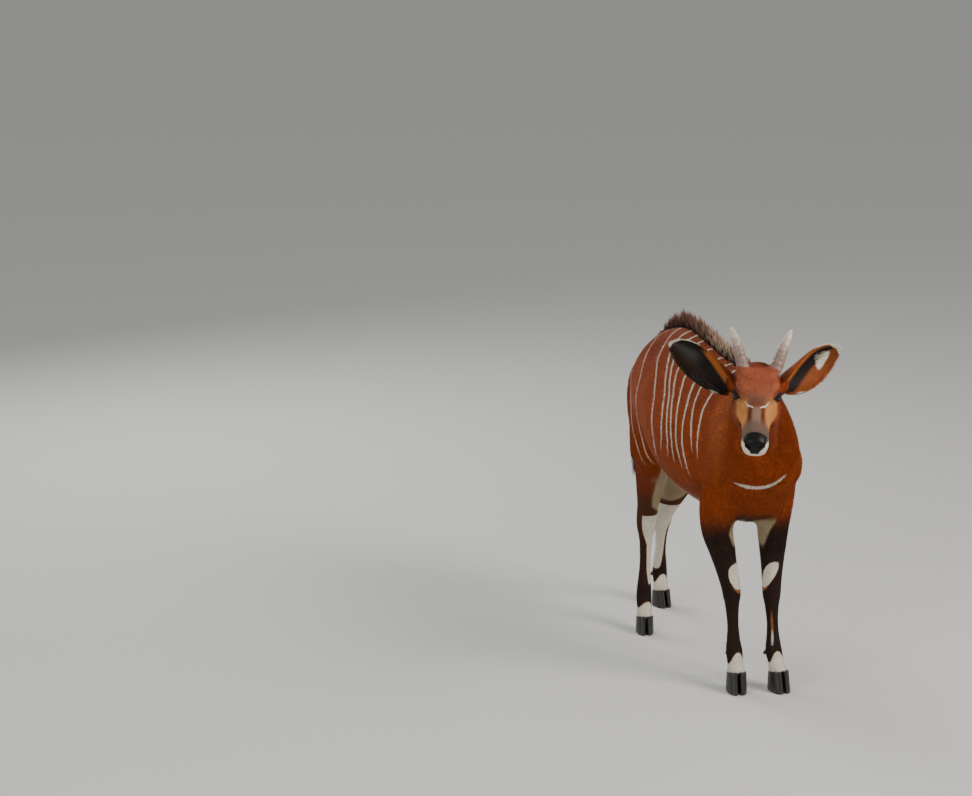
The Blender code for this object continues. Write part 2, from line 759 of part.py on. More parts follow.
def horn(name, side, grow):
    """A short straight horn, ringed near its root."""
    root = np.array((side * HORN_ROOT[0] + HORN_SHIFT, HORN_ROOT[1], HORN_ROOT[2]))
    tip = np.array((side * HORN_TIP[0] + HORN_SHIFT, HORN_TIP[1], HORN_TIP[2]))
    rows = []
    count = 12
    start = -0.10
    for index in range(count + 1):
        share = start + (1.0 - start) * index / count
        centre = root + (tip - root) * share
        centre[2] += 0.006 * share * (1.0 - share) * 4.0
        radius = HORN_RADIUS * (1.0 - 0.30 * max(share, 0.0) - 0.50 * max(share, 0.0) ** 4)
        if 0.02 < share < 0.60:
            radius += 0.0006 * math.cos(share * 58.0)
        rows.append((*centre, radius + grow, radius * 0.95 + grow, radius * 0.95 + grow))
    first = np.array(rows[0])
    first[:3] -= (tip - root) * (grow / 0.12)
    rows[0] = tuple(first)
    last = np.array(rows[-1])
    last[:3] += (tip - root) * (0.022 + grow / 0.12)
    last[3:] *= 0.40
    rows.append(tuple(last))
    body = tube(name, rows, (0, -1, 0.5), 1, 12)
    body.data.transform(head_matrix())
    return body


def ear(name, side, grow):
    """A leaf-shaped ear rolled into a tube at its root, with an open cup to the front."""
    root = np.array(EAR_ROOTS[side])
    out = np.array(EAR_LINES[side][0])
    out /= np.linalg.norm(out)
    face = np.array(EAR_LINES[side][1])
    face -= out * np.dot(face, out)
    face /= np.linalg.norm(face)
    across = np.cross(out, face)
    rings = curve_through(EAR, 1)
    columns = 12
    half_depth = EAR_THICKNESS / 2.0
    mesh = bmesh.new()
    sheets = ([], [])
    for share, width, angle in rings:
        radius = width / math.sin(min(angle, math.pi / 2.0))
        line = root + out * (EAR_LENGTHS[side] * share + 2.0 * grow * (share - 0.5))
        line = line - face * 0.012 * math.sin(math.pi * share)
        line = line + across * EAR_SAGS[side] * math.sin(math.pi * share)
        row_in = []
        row_out = []
        thick = half_depth * (1.0 - 0.35 * share) + grow
        edge = angle + grow / radius
        for number in range(columns + 1):
            turn = edge * (2.0 * number / columns - 1.0)
            spoke = across * math.sin(turn) - face * math.cos(turn)
            middle = line + face * radius * 0.55 + spoke * radius
            row_in.append(mesh.verts.new(middle - spoke * thick))
            row_out.append(mesh.verts.new(middle + spoke * thick))
        sheets[0].append(row_in)
        sheets[1].append(row_out)
    inner, outer = sheets
    for index in range(len(inner) - 1):
        for number in range(columns):
            a, b = inner[index][number], inner[index][number + 1]
            c, d = inner[index + 1][number + 1], inner[index + 1][number]
            mesh.faces.new((a, b, c, d))
            a, b = outer[index][number], outer[index][number + 1]
            c, d = outer[index + 1][number + 1], outer[index + 1][number]
            mesh.faces.new((d, c, b, a))
        for number in (0, columns):
            a, b = inner[index][number], inner[index + 1][number]
            c, d = outer[index + 1][number], outer[index][number]
            mesh.faces.new((a, b, c, d))
    for index in (0, len(inner) - 1):
        for number in range(columns):
            a, b = inner[index][number], inner[index][number + 1]
            c, d = outer[index][number + 1], outer[index][number]
            mesh.faces.new((a, b, c, d))
    bmesh.ops.triangulate(mesh, faces=mesh.faces, quad_method="FIXED")
    body = add_object(name, mesh)
    body.data.transform(head_matrix())
    return body


def eye(name, side, grow):
    """An eyeball."""
    centre = eye_frame(side)[0]
    mesh = bmesh.new()
    shape = head_matrix() @ Matrix.Translation(Vector(centre))
    bmesh.ops.create_uvsphere(mesh, u_segments=16, v_segments=10, radius=EYE_RADIUS + grow,
                              matrix=shape)
    return add_object(name, mesh)


def tail_tube(name, grow):
    """The tail without its tuft."""
    rows = [(*row[:3], row[3] + grow, row[4] + grow, row[5] + grow) for row in TAIL]
    first = rows[0]
    rows[0] = (first[0], first[1] - grow, *first[2:])
    return tube(name, rows, (0, 1, 0.6), 2, 10)


def make_tail():
    """Tail with the locks of its tuft."""
    tail = tail_tube("tail", 0.0)
    chance = random.Random(3)
    locks = []
    for index in range(9):
        z = 0.60 - 0.035 * (index % 4)
        angle = 2.4 * index
        out = Vector((math.cos(angle), math.sin(angle), 0.0))
        root = Vector((-0.005, 0.504, z)) + out * 0.002
        grow = (out * 0.12 + Vector((0, 0, -1))).normalized()
        across = out.cross(Vector((0, 0, 1)))
        length = z - TAIL_TUFT_END - 0.012 * chance.random()
        bend = out * -0.05
        locks.append(lock_of_hair("tuft_lock", root, grow, across, length, 0.011, 0.004, bend))
    union_all(tail, locks)
    largest_surface(tail)
    return tail


def seat(host, maker, name, gap, *sizes):
    """Builds a part and cuts a socket for it, larger by a gap, from its host."""
    part = maker(name, *sizes, 0.0)
    combine(host, maker("socket", *sizes, gap), "DIFFERENCE")
    largest_surface(host)
    return part


def finish(body, colour, roughness):
    """Gives a part its own material."""
    material = bpy.data.materials.new(body.name)
    material.use_nodes = True
    shader = material.node_tree.nodes["Principled BSDF"]
    shader.inputs["Base Color"].default_value = (*colour, 1.0)
    shader.inputs["Roughness"].default_value = roughness
    body.data.materials.clear()
    body.data.materials.append(material)


def bring_home():
    """Puts the middle of the animal's box, seen from above, at the origin."""
    points = np.vstack([read_points(body.data) for body in bpy.data.objects])
    middle = (points.min(axis=0) + points.max(axis=0)) / 2.0
    for body in bpy.data.objects:
        body.data.transform(Matrix.Translation((-middle[0], -middle[1], 0.0)))


CHESTNUT = (0.38, 0.075, 0.010)
DARK_COAT = (0.060, 0.020, 0.010)
HORN_GREY = (0.20, 0.15, 0.12)
CLAW_BLACK = (0.020, 0.018, 0.016)
EYE_BLACK = (0.008, 0.006, 0.005)


def build():
    """Builds every part of the animal."""
    for old in list(bpy.data.objects):
        bpy.data.objects.remove(old, do_unlink=True)
    flesh = make_flesh()
    shape_face(flesh)
    thin_out(flesh)
    union_all(flesh, crest_locks(flesh))
    largest_surface(flesh)
    matrix = head_matrix()
    behind = matrix.to_3x3() @ Vector((0.0, -1.0, -0.10))
    nape = matrix @ Vector((0.0, 0.116, 0.0))
    head = split(flesh, "head", lambda grow: half_space("cutter", nape, behind, grow, 0.4))
    base = Vector((-0.01, -0.375, 0.85))
    neck = split(flesh, "neck", lambda grow: half_space("cutter", base, (-0.10, -0.90, 0.42), grow))
    finish(head, CHESTNUT, 0.8)
    finish(neck, CHESTNUT, 0.8)
    for name in LEG_JOINTS:
        leg = split(flesh, "leg_" + name, leg_cutter(name))
        place, normal = coronet_plane(name)
        combine(leg, half_space("cutter", place, -normal, GAP / 2.0), "DIFFERENCE")
        largest_surface(leg)
        for side, label in ((-1.0, "right"), (1.0, "left")):
            finish(claw("hoof_" + name + "_" + label, name, side), CLAW_BLACK, 0.4)
            spur = seat(leg, dewclaw, "dewclaw_" + name + "_" + label, GAP, name, side)
            finish(spur, CLAW_BLACK, 0.4)
        finish(leg, DARK_COAT, 0.8)
    flesh.name = "torso"
    finish(flesh, CHESTNUT, 0.8)
    tail = make_tail()
    finish(tail, CHESTNUT, 0.8)
    combine(flesh, tail_tube("socket", GAP), "DIFFERENCE")
    largest_surface(flesh)
    for side, label in ((-1.0, "right"), (1.0, "left")):
        finish(seat(head, eye, "eye_" + label, GAP, side), EYE_BLACK, 0.1)
        finish(seat(head, horn, "horn_" + label, GAP, side), HORN_GREY, 0.5)
        finish(seat(head, ear, "ear_" + label, EAR_GAP, side), DARK_COAT, 0.8)
    bring_home()


build()
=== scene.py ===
"""Life-size young bongo antelope: one skin, a short striped coat, crest, horns and claws."""

import json
import logging
import math
from dataclasses import dataclass
from enum import Enum
from typing import Optional, Sequence

import bmesh
import bpy
import numpy as np
from mathutils import Matrix, Vector

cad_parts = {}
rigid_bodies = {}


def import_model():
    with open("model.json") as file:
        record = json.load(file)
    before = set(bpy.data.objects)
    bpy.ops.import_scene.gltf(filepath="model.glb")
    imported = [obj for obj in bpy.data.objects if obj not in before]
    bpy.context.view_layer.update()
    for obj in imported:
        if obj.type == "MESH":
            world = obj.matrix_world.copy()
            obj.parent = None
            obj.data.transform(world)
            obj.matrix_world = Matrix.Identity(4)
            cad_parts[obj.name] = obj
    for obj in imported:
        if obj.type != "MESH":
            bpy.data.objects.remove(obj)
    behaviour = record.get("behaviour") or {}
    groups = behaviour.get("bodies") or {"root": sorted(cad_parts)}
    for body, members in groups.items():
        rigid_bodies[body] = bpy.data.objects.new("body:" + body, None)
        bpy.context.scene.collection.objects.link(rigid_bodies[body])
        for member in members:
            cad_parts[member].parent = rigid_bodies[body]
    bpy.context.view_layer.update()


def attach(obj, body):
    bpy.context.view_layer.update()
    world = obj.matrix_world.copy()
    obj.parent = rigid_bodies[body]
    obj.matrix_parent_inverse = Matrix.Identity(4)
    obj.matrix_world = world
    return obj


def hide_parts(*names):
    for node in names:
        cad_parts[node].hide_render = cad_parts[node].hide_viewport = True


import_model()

BODY = "root"
LOG = logging.getLogger("bongo")

# The shapes below are in the maker's frame: the ground at 0, facing -Y, the left side at +X.
# Finished pieces are moved by this much, to the middle of the animal's box.
HOME = Vector((0.089735, 0.119854, 0.0))

Row = Sequence[float]
Point = tuple[float, float, float]
SIDES = ((-1.0, "right"), (1.0, "left"))

# Centimetres in a metre
TO_CM = 100.0


def smooth_share(value: np.ndarray, low: float, high: float) -> np.ndarray:
    """Goes smoothly from 0 at the low value to 1 at the high one.

    Args:
        value: Values to turn into shares.
        low: Value with the share 0.
        high: Value with the share 1.

    Returns:
        The shares.
    """
    share = np.clip((np.asarray(value, dtype=float) - low) / (high - low), 0.0, 1.0)
    return share * share * (3.0 - 2.0 * share)


def unit(vector: Row) -> np.ndarray:
    """A direction as an array of length 1."""
    array = np.array(vector, dtype=float)
    return array / np.linalg.norm(array)


def unit_rows(rows: np.ndarray) -> np.ndarray:
    """Every row brought to length 1."""
    return rows / np.maximum(np.linalg.norm(rows, axis=1), 1e-9)[:, None]


def get_points(mesh: bpy.types.Mesh) -> np.ndarray:
    """Point places of a mesh as rows.

    Args:
        mesh: The mesh.

    Returns:
        One row for each point.
    """
    flat = np.empty(len(mesh.vertices) * 3)
    mesh.vertices.foreach_get("co", flat)
    return flat.reshape(-1, 3)


def get_normals(mesh: bpy.types.Mesh) -> np.ndarray:
    """Point normals of a mesh as rows.

    Args:
        mesh: The mesh.

    Returns:
        One row for each point.
    """
    flat = np.empty(len(mesh.vertices) * 3)
    mesh.vertex_normals.foreach_get("vector", flat)
    return flat.reshape(-1, 3)


def set_points(mesh: bpy.types.Mesh, points: np.ndarray) -> None:
    """Puts the points of a mesh at new places."""
    mesh.vertices.foreach_set("co", points.ravel())
    mesh.update()


def store(mesh: bpy.types.Mesh, name: str, values: np.ndarray, domain: str = "POINT") -> None:
    """Stores one number or one vector for each element of a mesh.

    Args:
        mesh: Mesh that gets the attribute.
        name: Name of the attribute.
        values: One value, or one row of three, for each element.
        domain: Kind of element.
    """
    if values.ndim == 1:
        layer = mesh.attributes.new(name, "FLOAT", domain)
        layer.data.foreach_set("value", values.astype(np.float32))
    else:
        layer = mesh.attributes.new(name, "FLOAT_VECTOR", domain)
        layer.data.foreach_set("vector", values.astype(np.float32).ravel())


def add_piece(name: str, data: bpy.types.Mesh) -> bpy.types.Object:
    """A scene object that shows a mesh.

    Args:
        name: Name of the result.
        data: The mesh.

    Returns:
        The object.
    """
    body = bpy.data.objects.new(name, data)
    bpy.context.scene.collection.objects.link(body)
    return body


def piece_from(name: str, mesh: bmesh.types.BMesh, smooth: bool = True) -> bpy.types.Object:
    """A scene object made from a working mesh, with its faces turned outward.

    Args:
        name: Name of the object.
        mesh: Working mesh, which is freed.
        smooth: Whether the faces are shaded smoothly.

    Returns:
        The new object.
    """
    bmesh.ops.recalc_face_normals(mesh, faces=mesh.faces)
    data = bpy.data.meshes.new(name)
    mesh.to_mesh(data)
    mesh.free()
    data.polygons.foreach_set("use_smooth", [smooth] * len(data.polygons))
    return add_piece(name, data)


def settle(body: bpy.types.Object) -> None:
    """Applies every modifier of an object.

    Args:
        body: The object.
    """
    graph = bpy.context.evaluated_depsgraph_get()
    fresh = bpy.data.meshes.new_from_object(body.evaluated_get(graph))
    body.modifiers.clear()
    old = body.data
    body.data = fresh
    bpy.data.meshes.remove(old)


def fuse_bodies(body: bpy.types.Object, other: bpy.types.Object) -> None:
    """Unites a body with another one, which is then removed.

    Args:
        body: The body that stays.
        other: The body that goes.
    """
    change = body.modifiers.new("unite", "BOOLEAN")
    change.operation = "UNION"
    change.solver = "EXACT"
    change.object = other
    settle(body)
    bpy.data.objects.remove(other, do_unlink=True)


def join_rings(mesh: bmesh.types.BMesh, rings: Sequence[list]) -> None:
    """Walls between rings of points, and a lid on each end.

    Args:
        mesh: The mesh.
        rings: Rings of points, from one end to the other.
    """
    for lower, upper in zip(rings, rings[1:]):
        count = len(lower)
        for index in range(count):
            after = (index + 1) % count
            mesh.faces.new((lower[index], lower[after], upper[after], upper[index]))
    mesh.faces.new(rings[0])
    mesh.faces.new(rings[-1])


def curve_through(rows: Sequence[Row], steps: int) -> np.ndarray:
    """Rows of numbers on smooth curves through the given rows.

    Args:
        rows: Rows that the curves pass through.
        steps: Number of steps from each row to the next.

    Returns:
        The rows on the curves.
    """
    table = np.array(rows, dtype=float)
    first = 2.0 * table[0] - table[1]
    last = 2.0 * table[-1] - table[-2]
    ends = np.vstack((first, table, last))
    result = []
    for index in range(len(table) - 1):
        before, here, ahead, beyond = ends[index:index + 4]
        for step in range(steps):
            t = step / steps
            line = 2.0 * here + (ahead - before) * t
            bend = (2.0 * before - 5.0 * here + 4.0 * ahead - beyond) * t * t
            twist = (3.0 * here - before - 3.0 * ahead + beyond) * t ** 3
            result.append(0.5 * (line + bend + twist))
    result.append(table[-1])
    return np.array(result)


def tube(name: str, rows: Sequence[Row], up_hint: Row, steps: int = 3, sides: int = 28,
         ring_normal: Optional[Row] = None, top_power: float = 1.0,
         low_power: float = 1.0) -> bpy.types.Object:
    """A closed tube through rings.

    Args:
        name: Name of the object.
        rows: For each ring its centre, half width, reach above and reach below.
        up_hint: Direction that counts as above.
        steps: Number of steps from each row to the next.
        sides: Points of each ring.
        ring_normal: Direction that all rings face, or None to follow the tube.
        top_power: Power that makes the upper half of a ring pointed.
        low_power: Power that makes the lower half of a ring full.

    Returns:
        The tube.
    """
    path = curve_through(rows, steps)
    mesh = bmesh.new()
    rings = []
    for index, row in enumerate(path):
        ahead = Vector(path[min(index + 1, len(path) - 1)][:3])
        behind = Vector(path[max(index - 1, 0)][:3])
        along = Vector(ring_normal) if ring_normal else (ahead - behind).normalized()
        side = Vector(up_hint).cross(along).normalized()
        above = along.cross(side)
        ring = []
        for number in range(sides):
            angle = 2.0 * math.pi * number / sides
            rise = math.sin(angle)
            reach = row[4] * rise ** top_power if rise > 0.0 else row[5] * rise
            width = math.cos(angle)
            if rise < 0.0:
                width = math.copysign(abs(width) ** low_power, width)
            place = Vector(row[:3]) + side * row[3] * width + above * reach
            ring.append(mesh.verts.new(place))
        rings.append(ring)
    join_rings(mesh, rings)
    return piece_from(name, mesh)


def rounded_mass(name: str, centre: Row, sizes: Row, tilt: float) -> bpy.types.Object:
    """A smooth rounded mass, tilted about the side axis by degrees.

    Args:
        name: Name of the result.
        centre: Middle of the mass.
        sizes: Its half sizes.
        tilt: Its tilt in degrees.

    Returns:
        The mass.
    """
    mesh = bmesh.new()
    turn = Matrix.Rotation(math.radians(tilt), 4, "X")
    shape = Matrix.Translation(centre) @ turn @ Matrix.Diagonal((*sizes, 1.0))
    bmesh.ops.create_icosphere(mesh, subdivisions=4, radius=1.0, matrix=shape)
    return piece_from(name, mesh)


class Neighbours:
    """Averages over the neighbours of each point of a mesh."""

    def __init__(self, mesh: bpy.types.Mesh) -> None:
        """Reads the edges of the mesh.

        Args:
            mesh: The mesh.
        """
        pairs = np.empty(len(mesh.edges) * 2, dtype=int)
        mesh.edges.foreach_get("vertices", pairs)
        self.one, self.two = pairs.reshape(-1, 2).T
        self.total = len(mesh.vertices)
        self.degree = np.bincount(self.one, minlength=self.total)
        self.degree += np.bincount(self.two, minlength=self.total)

    def mean(self, rows: np.ndarray) -> np.ndarray:
        """Mean of the neighbours' rows for each point.

        Args:
            rows: Rows of numbers.

        Returns:
            One row for each point.
        """
        result = np.empty_like(rows)
        for axis in range(rows.shape[1]):
            sums = np.bincount(self.one, weights=rows[self.two, axis], minlength=self.total)
            sums += np.bincount(self.two, weights=rows[self.one, axis], minlength=self.total)
            result[:, axis] = sums / np.maximum(self.degree, 1)
        return result


def relax(mesh: bpy.types.Mesh, weight: np.ndarray, rounds: int) -> None:
    """Rounds off small facets without shrinking the shape.

    Args:
        mesh: Mesh that is changed.
        weight: Share of the change for each point.
        rounds: Number of rounds.
    """
    near = Neighbours(mesh)
    points = get_points(mesh)
    for _ in range(rounds):
        for step in (0.60, -0.61):
            points = points + (near.mean(points) - points) * (weight * step)[:, None]
    set_points(mesh, points)


@dataclass(frozen=True)
class HeadFrame:
    """The head's own frame: its origin between the eyes, facing -Y."""

    place: Point = (-0.179, -0.660, 0.998)
    turn: float = -28.6
    nod: float = 28.0
    roll: float = 1.5

    def matrix(self) -> Matrix:
        """Matrix from the head's frame to the maker's.

        Returns:
            The matrix.
        """
        turn = Matrix.Rotation(math.radians(self.turn), 4, "Z")
        nod = Matrix.Rotation(math.radians(self.nod), 4, "X")
        roll = Matrix.Rotation(math.radians(self.roll), 4, "Y")
        return Matrix.Translation(self.place) @ turn @ nod @ roll

    def inward(self, points: np.ndarray) -> np.ndarray:
        """Points of the maker's frame in the head's frame."""
        inverse = np.array(self.matrix().inverted())
        return points @ inverse[:3, :3].T + inverse[:3, 3]

    def inward_directions(self, rows: np.ndarray) -> np.ndarray:
        """Directions of the maker's frame in the head's frame."""
        inverse = np.array(self.matrix().inverted())
        return rows @ inverse[:3, :3].T

    def outward(self, points: np.ndarray) -> np.ndarray:
        """Points of the head's frame in the maker's frame."""
        matrix = np.array(self.matrix())
        return points @ matrix[:3, :3].T + matrix[:3, 3]

    def outward_directions(self, rows: np.ndarray) -> np.ndarray:
        """Directions of the head's frame in the maker's frame."""
        matrix = np.array(self.matrix())
        return rows @ matrix[:3, :3].T


HEAD = HeadFrame()


@dataclass(frozen=True)
class EyeSeat:
    """Where the eyes sit, in the head's frame."""

    centre: Point = (0.0490, 0.001, 0.004)
    radius: float = 0.0185
    look: Point = (0.84, -0.50, 0.16)
    lid_depth: float = 0.0026

    def axes(self, side: float) -> tuple[np.ndarray, np.ndarray, np.ndarray, np.ndarray]:
        """Centre of one eye and its outward, forward and upward directions.

        Args:
            side: 1 on the left and -1 on the right.

        Returns:
            Centre, outward, forward and upward, in the head's frame.
        """
        centre = np.array((side * self.centre[0], self.centre[1], self.centre[2]))
        out = unit((side * self.look[0], self.look[1], self.look[2]))
        up = np.array((0.0, 0.10, 1.0))
        up -= out * np.dot(up, out)
        up = unit(up)
        ahead = np.cross(up, out) * -side
        return centre, out, ahead, up

    def opening(self, along: np.ndarray, rise: np.ndarray) -> np.ndarray:
        """Distance outside the lids' opening, as a share of the eye's radius.

        Args:
            along: Forward parts of the directions from the eye's centre.
            rise: Their upward parts.

        Returns:
            One number for each direction, above 0 outside the opening.
        """
        half = 0.52 * (1.0 - (along / 0.80) ** 2) + 0.04
        middle = -0.05 + 0.10 * along
        return np.abs(rise - middle) - half


EYES = EyeSeat()


@dataclass(frozen=True)
class Limb:
    """A leg: its joints from the top down and how far its foot turns out."""

    joints: tuple[Point, ...]
    foot_turn: float
    side: float
    front: bool

    def axis(self, height: np.ndarray) -> tuple[np.ndarray, np.ndarray]:
        """Side and length places of the leg's middle at given heights.

        Args:
            height: The heights.

        Returns:
            Side places and length places.
        """
        table = np.array(self.joints)[::-1]
        return (np.interp(height, table[:, 2], table[:, 0]),
                np.interp(height, table[:, 2], table[:, 1]))

    def coronet(self) -> Point:
        """The joint just above the claws."""
        return self.joints[-1]


LIMBS = {
    "front_right": Limb(((-0.085, -0.330, 0.800), (-0.119, -0.303, 0.530),
                         (-0.066, -0.315, 0.312), (-0.060, -0.331, 0.124),
                         (-0.062, -0.353, 0.050)), -12.0, -1.0, True),
    "front_left": Limb(((0.074, -0.330, 0.800), (0.068, -0.319, 0.530),
                        (0.054, -0.346, 0.307), (0.058, -0.364, 0.122),
                        (0.063, -0.389, 0.050)), 2.0, 1.0, True),
    "hind_right": Limb(((-0.066, 0.305, 0.855), (-0.090, 0.205, 0.615),
                        (-0.056, 0.320, 0.372), (-0.067, 0.308, 0.112),
                        (-0.082, 0.268, 0.050)), -14.0, -1.0, False),
    "hind_left": Limb(((0.066, 0.315, 0.850), (0.094, 0.285, 0.575),
                       (0.064, 0.452, 0.340), (0.102, 0.545, 0.112),
                       (0.093, 0.513, 0.050)), 6.0, 1.0, False),
}


@dataclass
class Flesh:
    """Trunk, neck, head, tail and legs fused into one soft body.

    Trunk rows are place, sideways shift, top, belly, widest height and half width. Neck and
    tail rows are centre, half width, reach above and below. Skull rows are place, top,
    bottom, widest height and half width in the head's frame. Leg rows are place along the
    joints, half width, reach to the front and to the back.
    """

    voxel: float = 0.0045
    rounds: int = 60
    trunk: tuple[Row, ...] = (
        (-0.470, -0.022, 0.800, 0.690, 0.745, 0.050),
        (-0.445, -0.018, 0.862, 0.622, 0.735, 0.098),
        (-0.400, -0.012, 0.918, 0.562, 0.730, 0.122),
        (-0.330, -0.006, 0.963, 0.524, 0.730, 0.136),
        (-0.240, 0.000, 0.984, 0.510, 0.738, 0.150),
        (-0.130, 0.000, 0.997, 0.512, 0.748, 0.170),
        (-0.010, 0.000, 1.022, 0.524, 0.765, 0.184),
        (0.090, 0.000, 1.041, 0.545, 0.785, 0.180),
        (0.180, 0.000, 1.038, 0.580, 0.810, 0.162),
        (0.270, 0.000, 1.012, 0.632, 0.825, 0.138),
        (0.350, 0.000, 0.968, 0.690, 0.830, 0.108),
        (0.420, 0.000, 0.908, 0.745, 0.832, 0.072),
        (0.458, 0.000, 0.862, 0.790, 0.828, 0.035),
    )
    neck: tuple[Row, ...] = (
        (0.000, -0.230, 0.800, 0.075, 0.150, 0.150),
        (-0.012, -0.320, 0.835, 0.080, 0.132, 0.150),
        (-0.042, -0.400, 0.883, 0.072, 0.108, 0.132),
        (-0.080, -0.475, 0.938, 0.061, 0.087, 0.106),
        (-0.112, -0.535, 0.985, 0.054, 0.072, 0.086),
        (-0.137, -0.585, 1.020, 0.050, 0.058, 0.072),
        (-0.152, -0.615, 1.035, 0.045, 0.045, 0.060),
    )
    skull: tuple[Row, ...] = (
        (-0.202, -0.005, -0.040, -0.021, 0.022),
        (-0.193, 0.006, -0.056, -0.022, 0.0335),
        (-0.170, 0.013, -0.066, -0.025, 0.0395),
        (-0.130, 0.020, -0.067, -0.024, 0.0385),
        (-0.090, 0.027, -0.068, -0.020, 0.0412),
        (-0.050, 0.035, -0.075, -0.016, 0.0520),
        (-0.015, 0.043, -0.085, -0.008, 0.0600),
        (0.020, 0.050, -0.094, -0.004, 0.0640),
        (0.055, 0.051, -0.099, -0.006, 0.0630),
        (0.085, 0.046, -0.092, -0.010, 0.0590),
        (0.112, 0.034, -0.074, -0.014, 0.0500),
        (0.130, 0.012, -0.048, -0.016, 0.0330),
    )
    foreleg: tuple[Row, ...] = (
        (0.00, 0.035, 0.070, 0.080),
        (0.45, 0.053, 0.085, 0.085),
        (0.80, 0.0550, 0.0720, 0.080),
        (1.10, 0.0475, 0.0565, 0.063),
        (1.40, 0.0405, 0.0445, 0.0485),
        (1.70, 0.0335, 0.0360, 0.037),
        (1.93, 0.0302, 0.0325, 0.031),
        (2.08, 0.0285, 0.0300, 0.030),
        (2.25, 0.0226, 0.0220, 0.0265),
        (2.55, 0.0183, 0.0185, 0.0235),
        (2.80, 0.0212, 0.0210, 0.0275),
        (3.00, 0.0266, 0.0260, 0.0295),
        (3.45, 0.0258, 0.0240, 0.026),
        (3.85, 0.0286, 0.0285, 0.028),
        (4.30, 0.0295, 0.0300, 0.0285),
    )
    hindleg: tuple[Row, ...] = (
        (0.00, 0.040, 0.090, 0.090),
        (0.40, 0.048, 0.100, 0.125),
        (0.80, 0.0520, 0.085, 0.135),
        (1.00, 0.0520, 0.070, 0.115),
        (1.25, 0.0490, 0.057, 0.083),
        (1.50, 0.0430, 0.046, 0.058),
        (1.78, 0.0355, 0.036, 0.042),
        (1.97, 0.0335, 0.033, 0.042),
        (2.10, 0.0320, 0.030, 0.039),
        (2.30, 0.0212, 0.0225, 0.029),
        (2.60, 0.0186, 0.0185, 0.0245),
        (2.85, 0.0238, 0.0225, 0.028),
        (3.00, 0.0262, 0.0260, 0.0295),
        (3.45, 0.0258, 0.0240, 0.0255),
        (3.85, 0.0276, 0.0278, 0.0275),
        (4.30, 0.0282, 0.0288, 0.0275),
    )
    tail: tuple[Row, ...] = (
        (0.000, 0.395, 0.880, 0.022, 0.020, 0.020),
        (0.000, 0.455, 0.888, 0.021, 0.017, 0.020),
        (-0.002, 0.487, 0.862, 0.018, 0.015, 0.016),
        (-0.004, 0.501, 0.800, 0.0145, 0.012, 0.012),
        (-0.007, 0.506, 0.720, 0.0115, 0.010, 0.010),
        (-0.006, 0.505, 0.640, 0.0095, 0.009, 0.009),
        (-0.004, 0.502, 0.575, 0.0080, 0.008, 0.008),
    )
    # Muscles of both sides: centre, half sizes and tilt
    muscles: tuple[tuple[Point, Point, float], ...] = (
        ((0.086, -0.270, 0.745), (0.050, 0.105, 0.165), -14.0),
        ((0.076, -0.380, 0.715), (0.044, 0.060, 0.075), 0.0),
        ((0.062, 0.335, 0.735), (0.048, 0.092, 0.165), -17.0),
        ((0.052, 0.230, 0.905), (0.062, 0.110, 0.070), 12.0),
    )
    # Masses of both sides of the head, in its frame
    head_masses: tuple[tuple[Point, Point, float], ...] = (
        ((0.044, 0.008, 0.034), (0.020, 0.030, 0.014), 0.0),
        ((0.045, 0.010, -0.056), (0.024, 0.064, 0.036), 12.0),
        ((0.063, 0.080, -0.025), (0.027, 0.028, 0.034), 0.0),
        ((0.044, 0.062, 0.044), (0.022, 0.024, 0.018), 0.0),
    )

    def head_pieces(self) -> list[bpy.types.Object]:
        """Skull and its side masses.

        Returns:
            The pieces.
        """
        rows = [(0.0, y, wide, half, top - wide, wide - low)
                for y, top, low, wide, half in self.skull]
        pieces = [tube("skull", rows, (0, 0, 1), 3, 36, (0, -1, 0), 1.0, 0.62)]
        for centre, sizes, tilt in self.head_masses:
            for side, _ in SIDES:
                place = (side * centre[0], centre[1], centre[2])
                pieces.append(rounded_mass("head_mass", place, sizes, tilt))
        for piece in pieces:
            piece.data.transform(HEAD.matrix())
        return pieces

    def leg(self, limb: Limb) -> bpy.types.Object:
        """One leg down to its coronet.

        Args:
            limb: The leg.

        Returns:
            The leg.
        """
        rows = []
        for place, half, front, back in self.foreleg if limb.front else self.hindleg:
            index = min(int(place), len(limb.joints) - 2)
            start = np.array(limb.joints[index])
            end = np.array(limb.joints[index + 1])
            centre = start + (end - start) * (place - index)
            rows.append((*centre, half, front, back))
        return tube("leg", rows, (0, -1, 0.001), 4, 24)

    def pieces(self) -> list[bpy.types.Object]:
        """Every mass of the body.

        Returns:
            The masses.
        """
        rows = [(x, y, wide, half, top - wide, wide - low)
                for y, x, top, low, wide, half in self.trunk]
        made = [tube("trunk", rows, (0, 0, 1), 4, 40, (0, -1, 0), 1.12)]
        made.append(tube("neck", self.neck, (0, 0.35, 1), 4, 32))
        made.append(tube("tail", self.tail, (0, 1, 0.6), 4, 20))
        made.extend(self.head_pieces())
        made.extend(self.leg(limb) for limb in LIMBS.values())
        for centre, sizes, tilt in self.muscles:
            for side, _ in SIDES:
                place = (side * centre[0], centre[1], centre[2])
                made.append(rounded_mass("muscle", place, sizes, tilt))
        for name in ("hind_right", "hind_left"):
            heel = Vector(LIMBS[name].joints[2]) + Vector((0.0, 0.024, 0.014))
            made.append(rounded_mass("heel", heel, (0.012, 0.013, 0.024), -30.0))
        return made

    def soften(self, mesh: bpy.types.Mesh) -> None:
        """Fills the creases where the masses meet.

        Args:
            mesh: The mesh.
        """
        near = Neighbours(mesh)
        for _ in range(self.rounds):
            points = get_points(mesh)
            shift = near.mean(points) - points
            outward = np.sum(shift * get_normals(mesh), axis=1)
            share = np.where(outward > 0.0, 0.8, 0.05)
            set_points(mesh, points + shift * share[:, None])

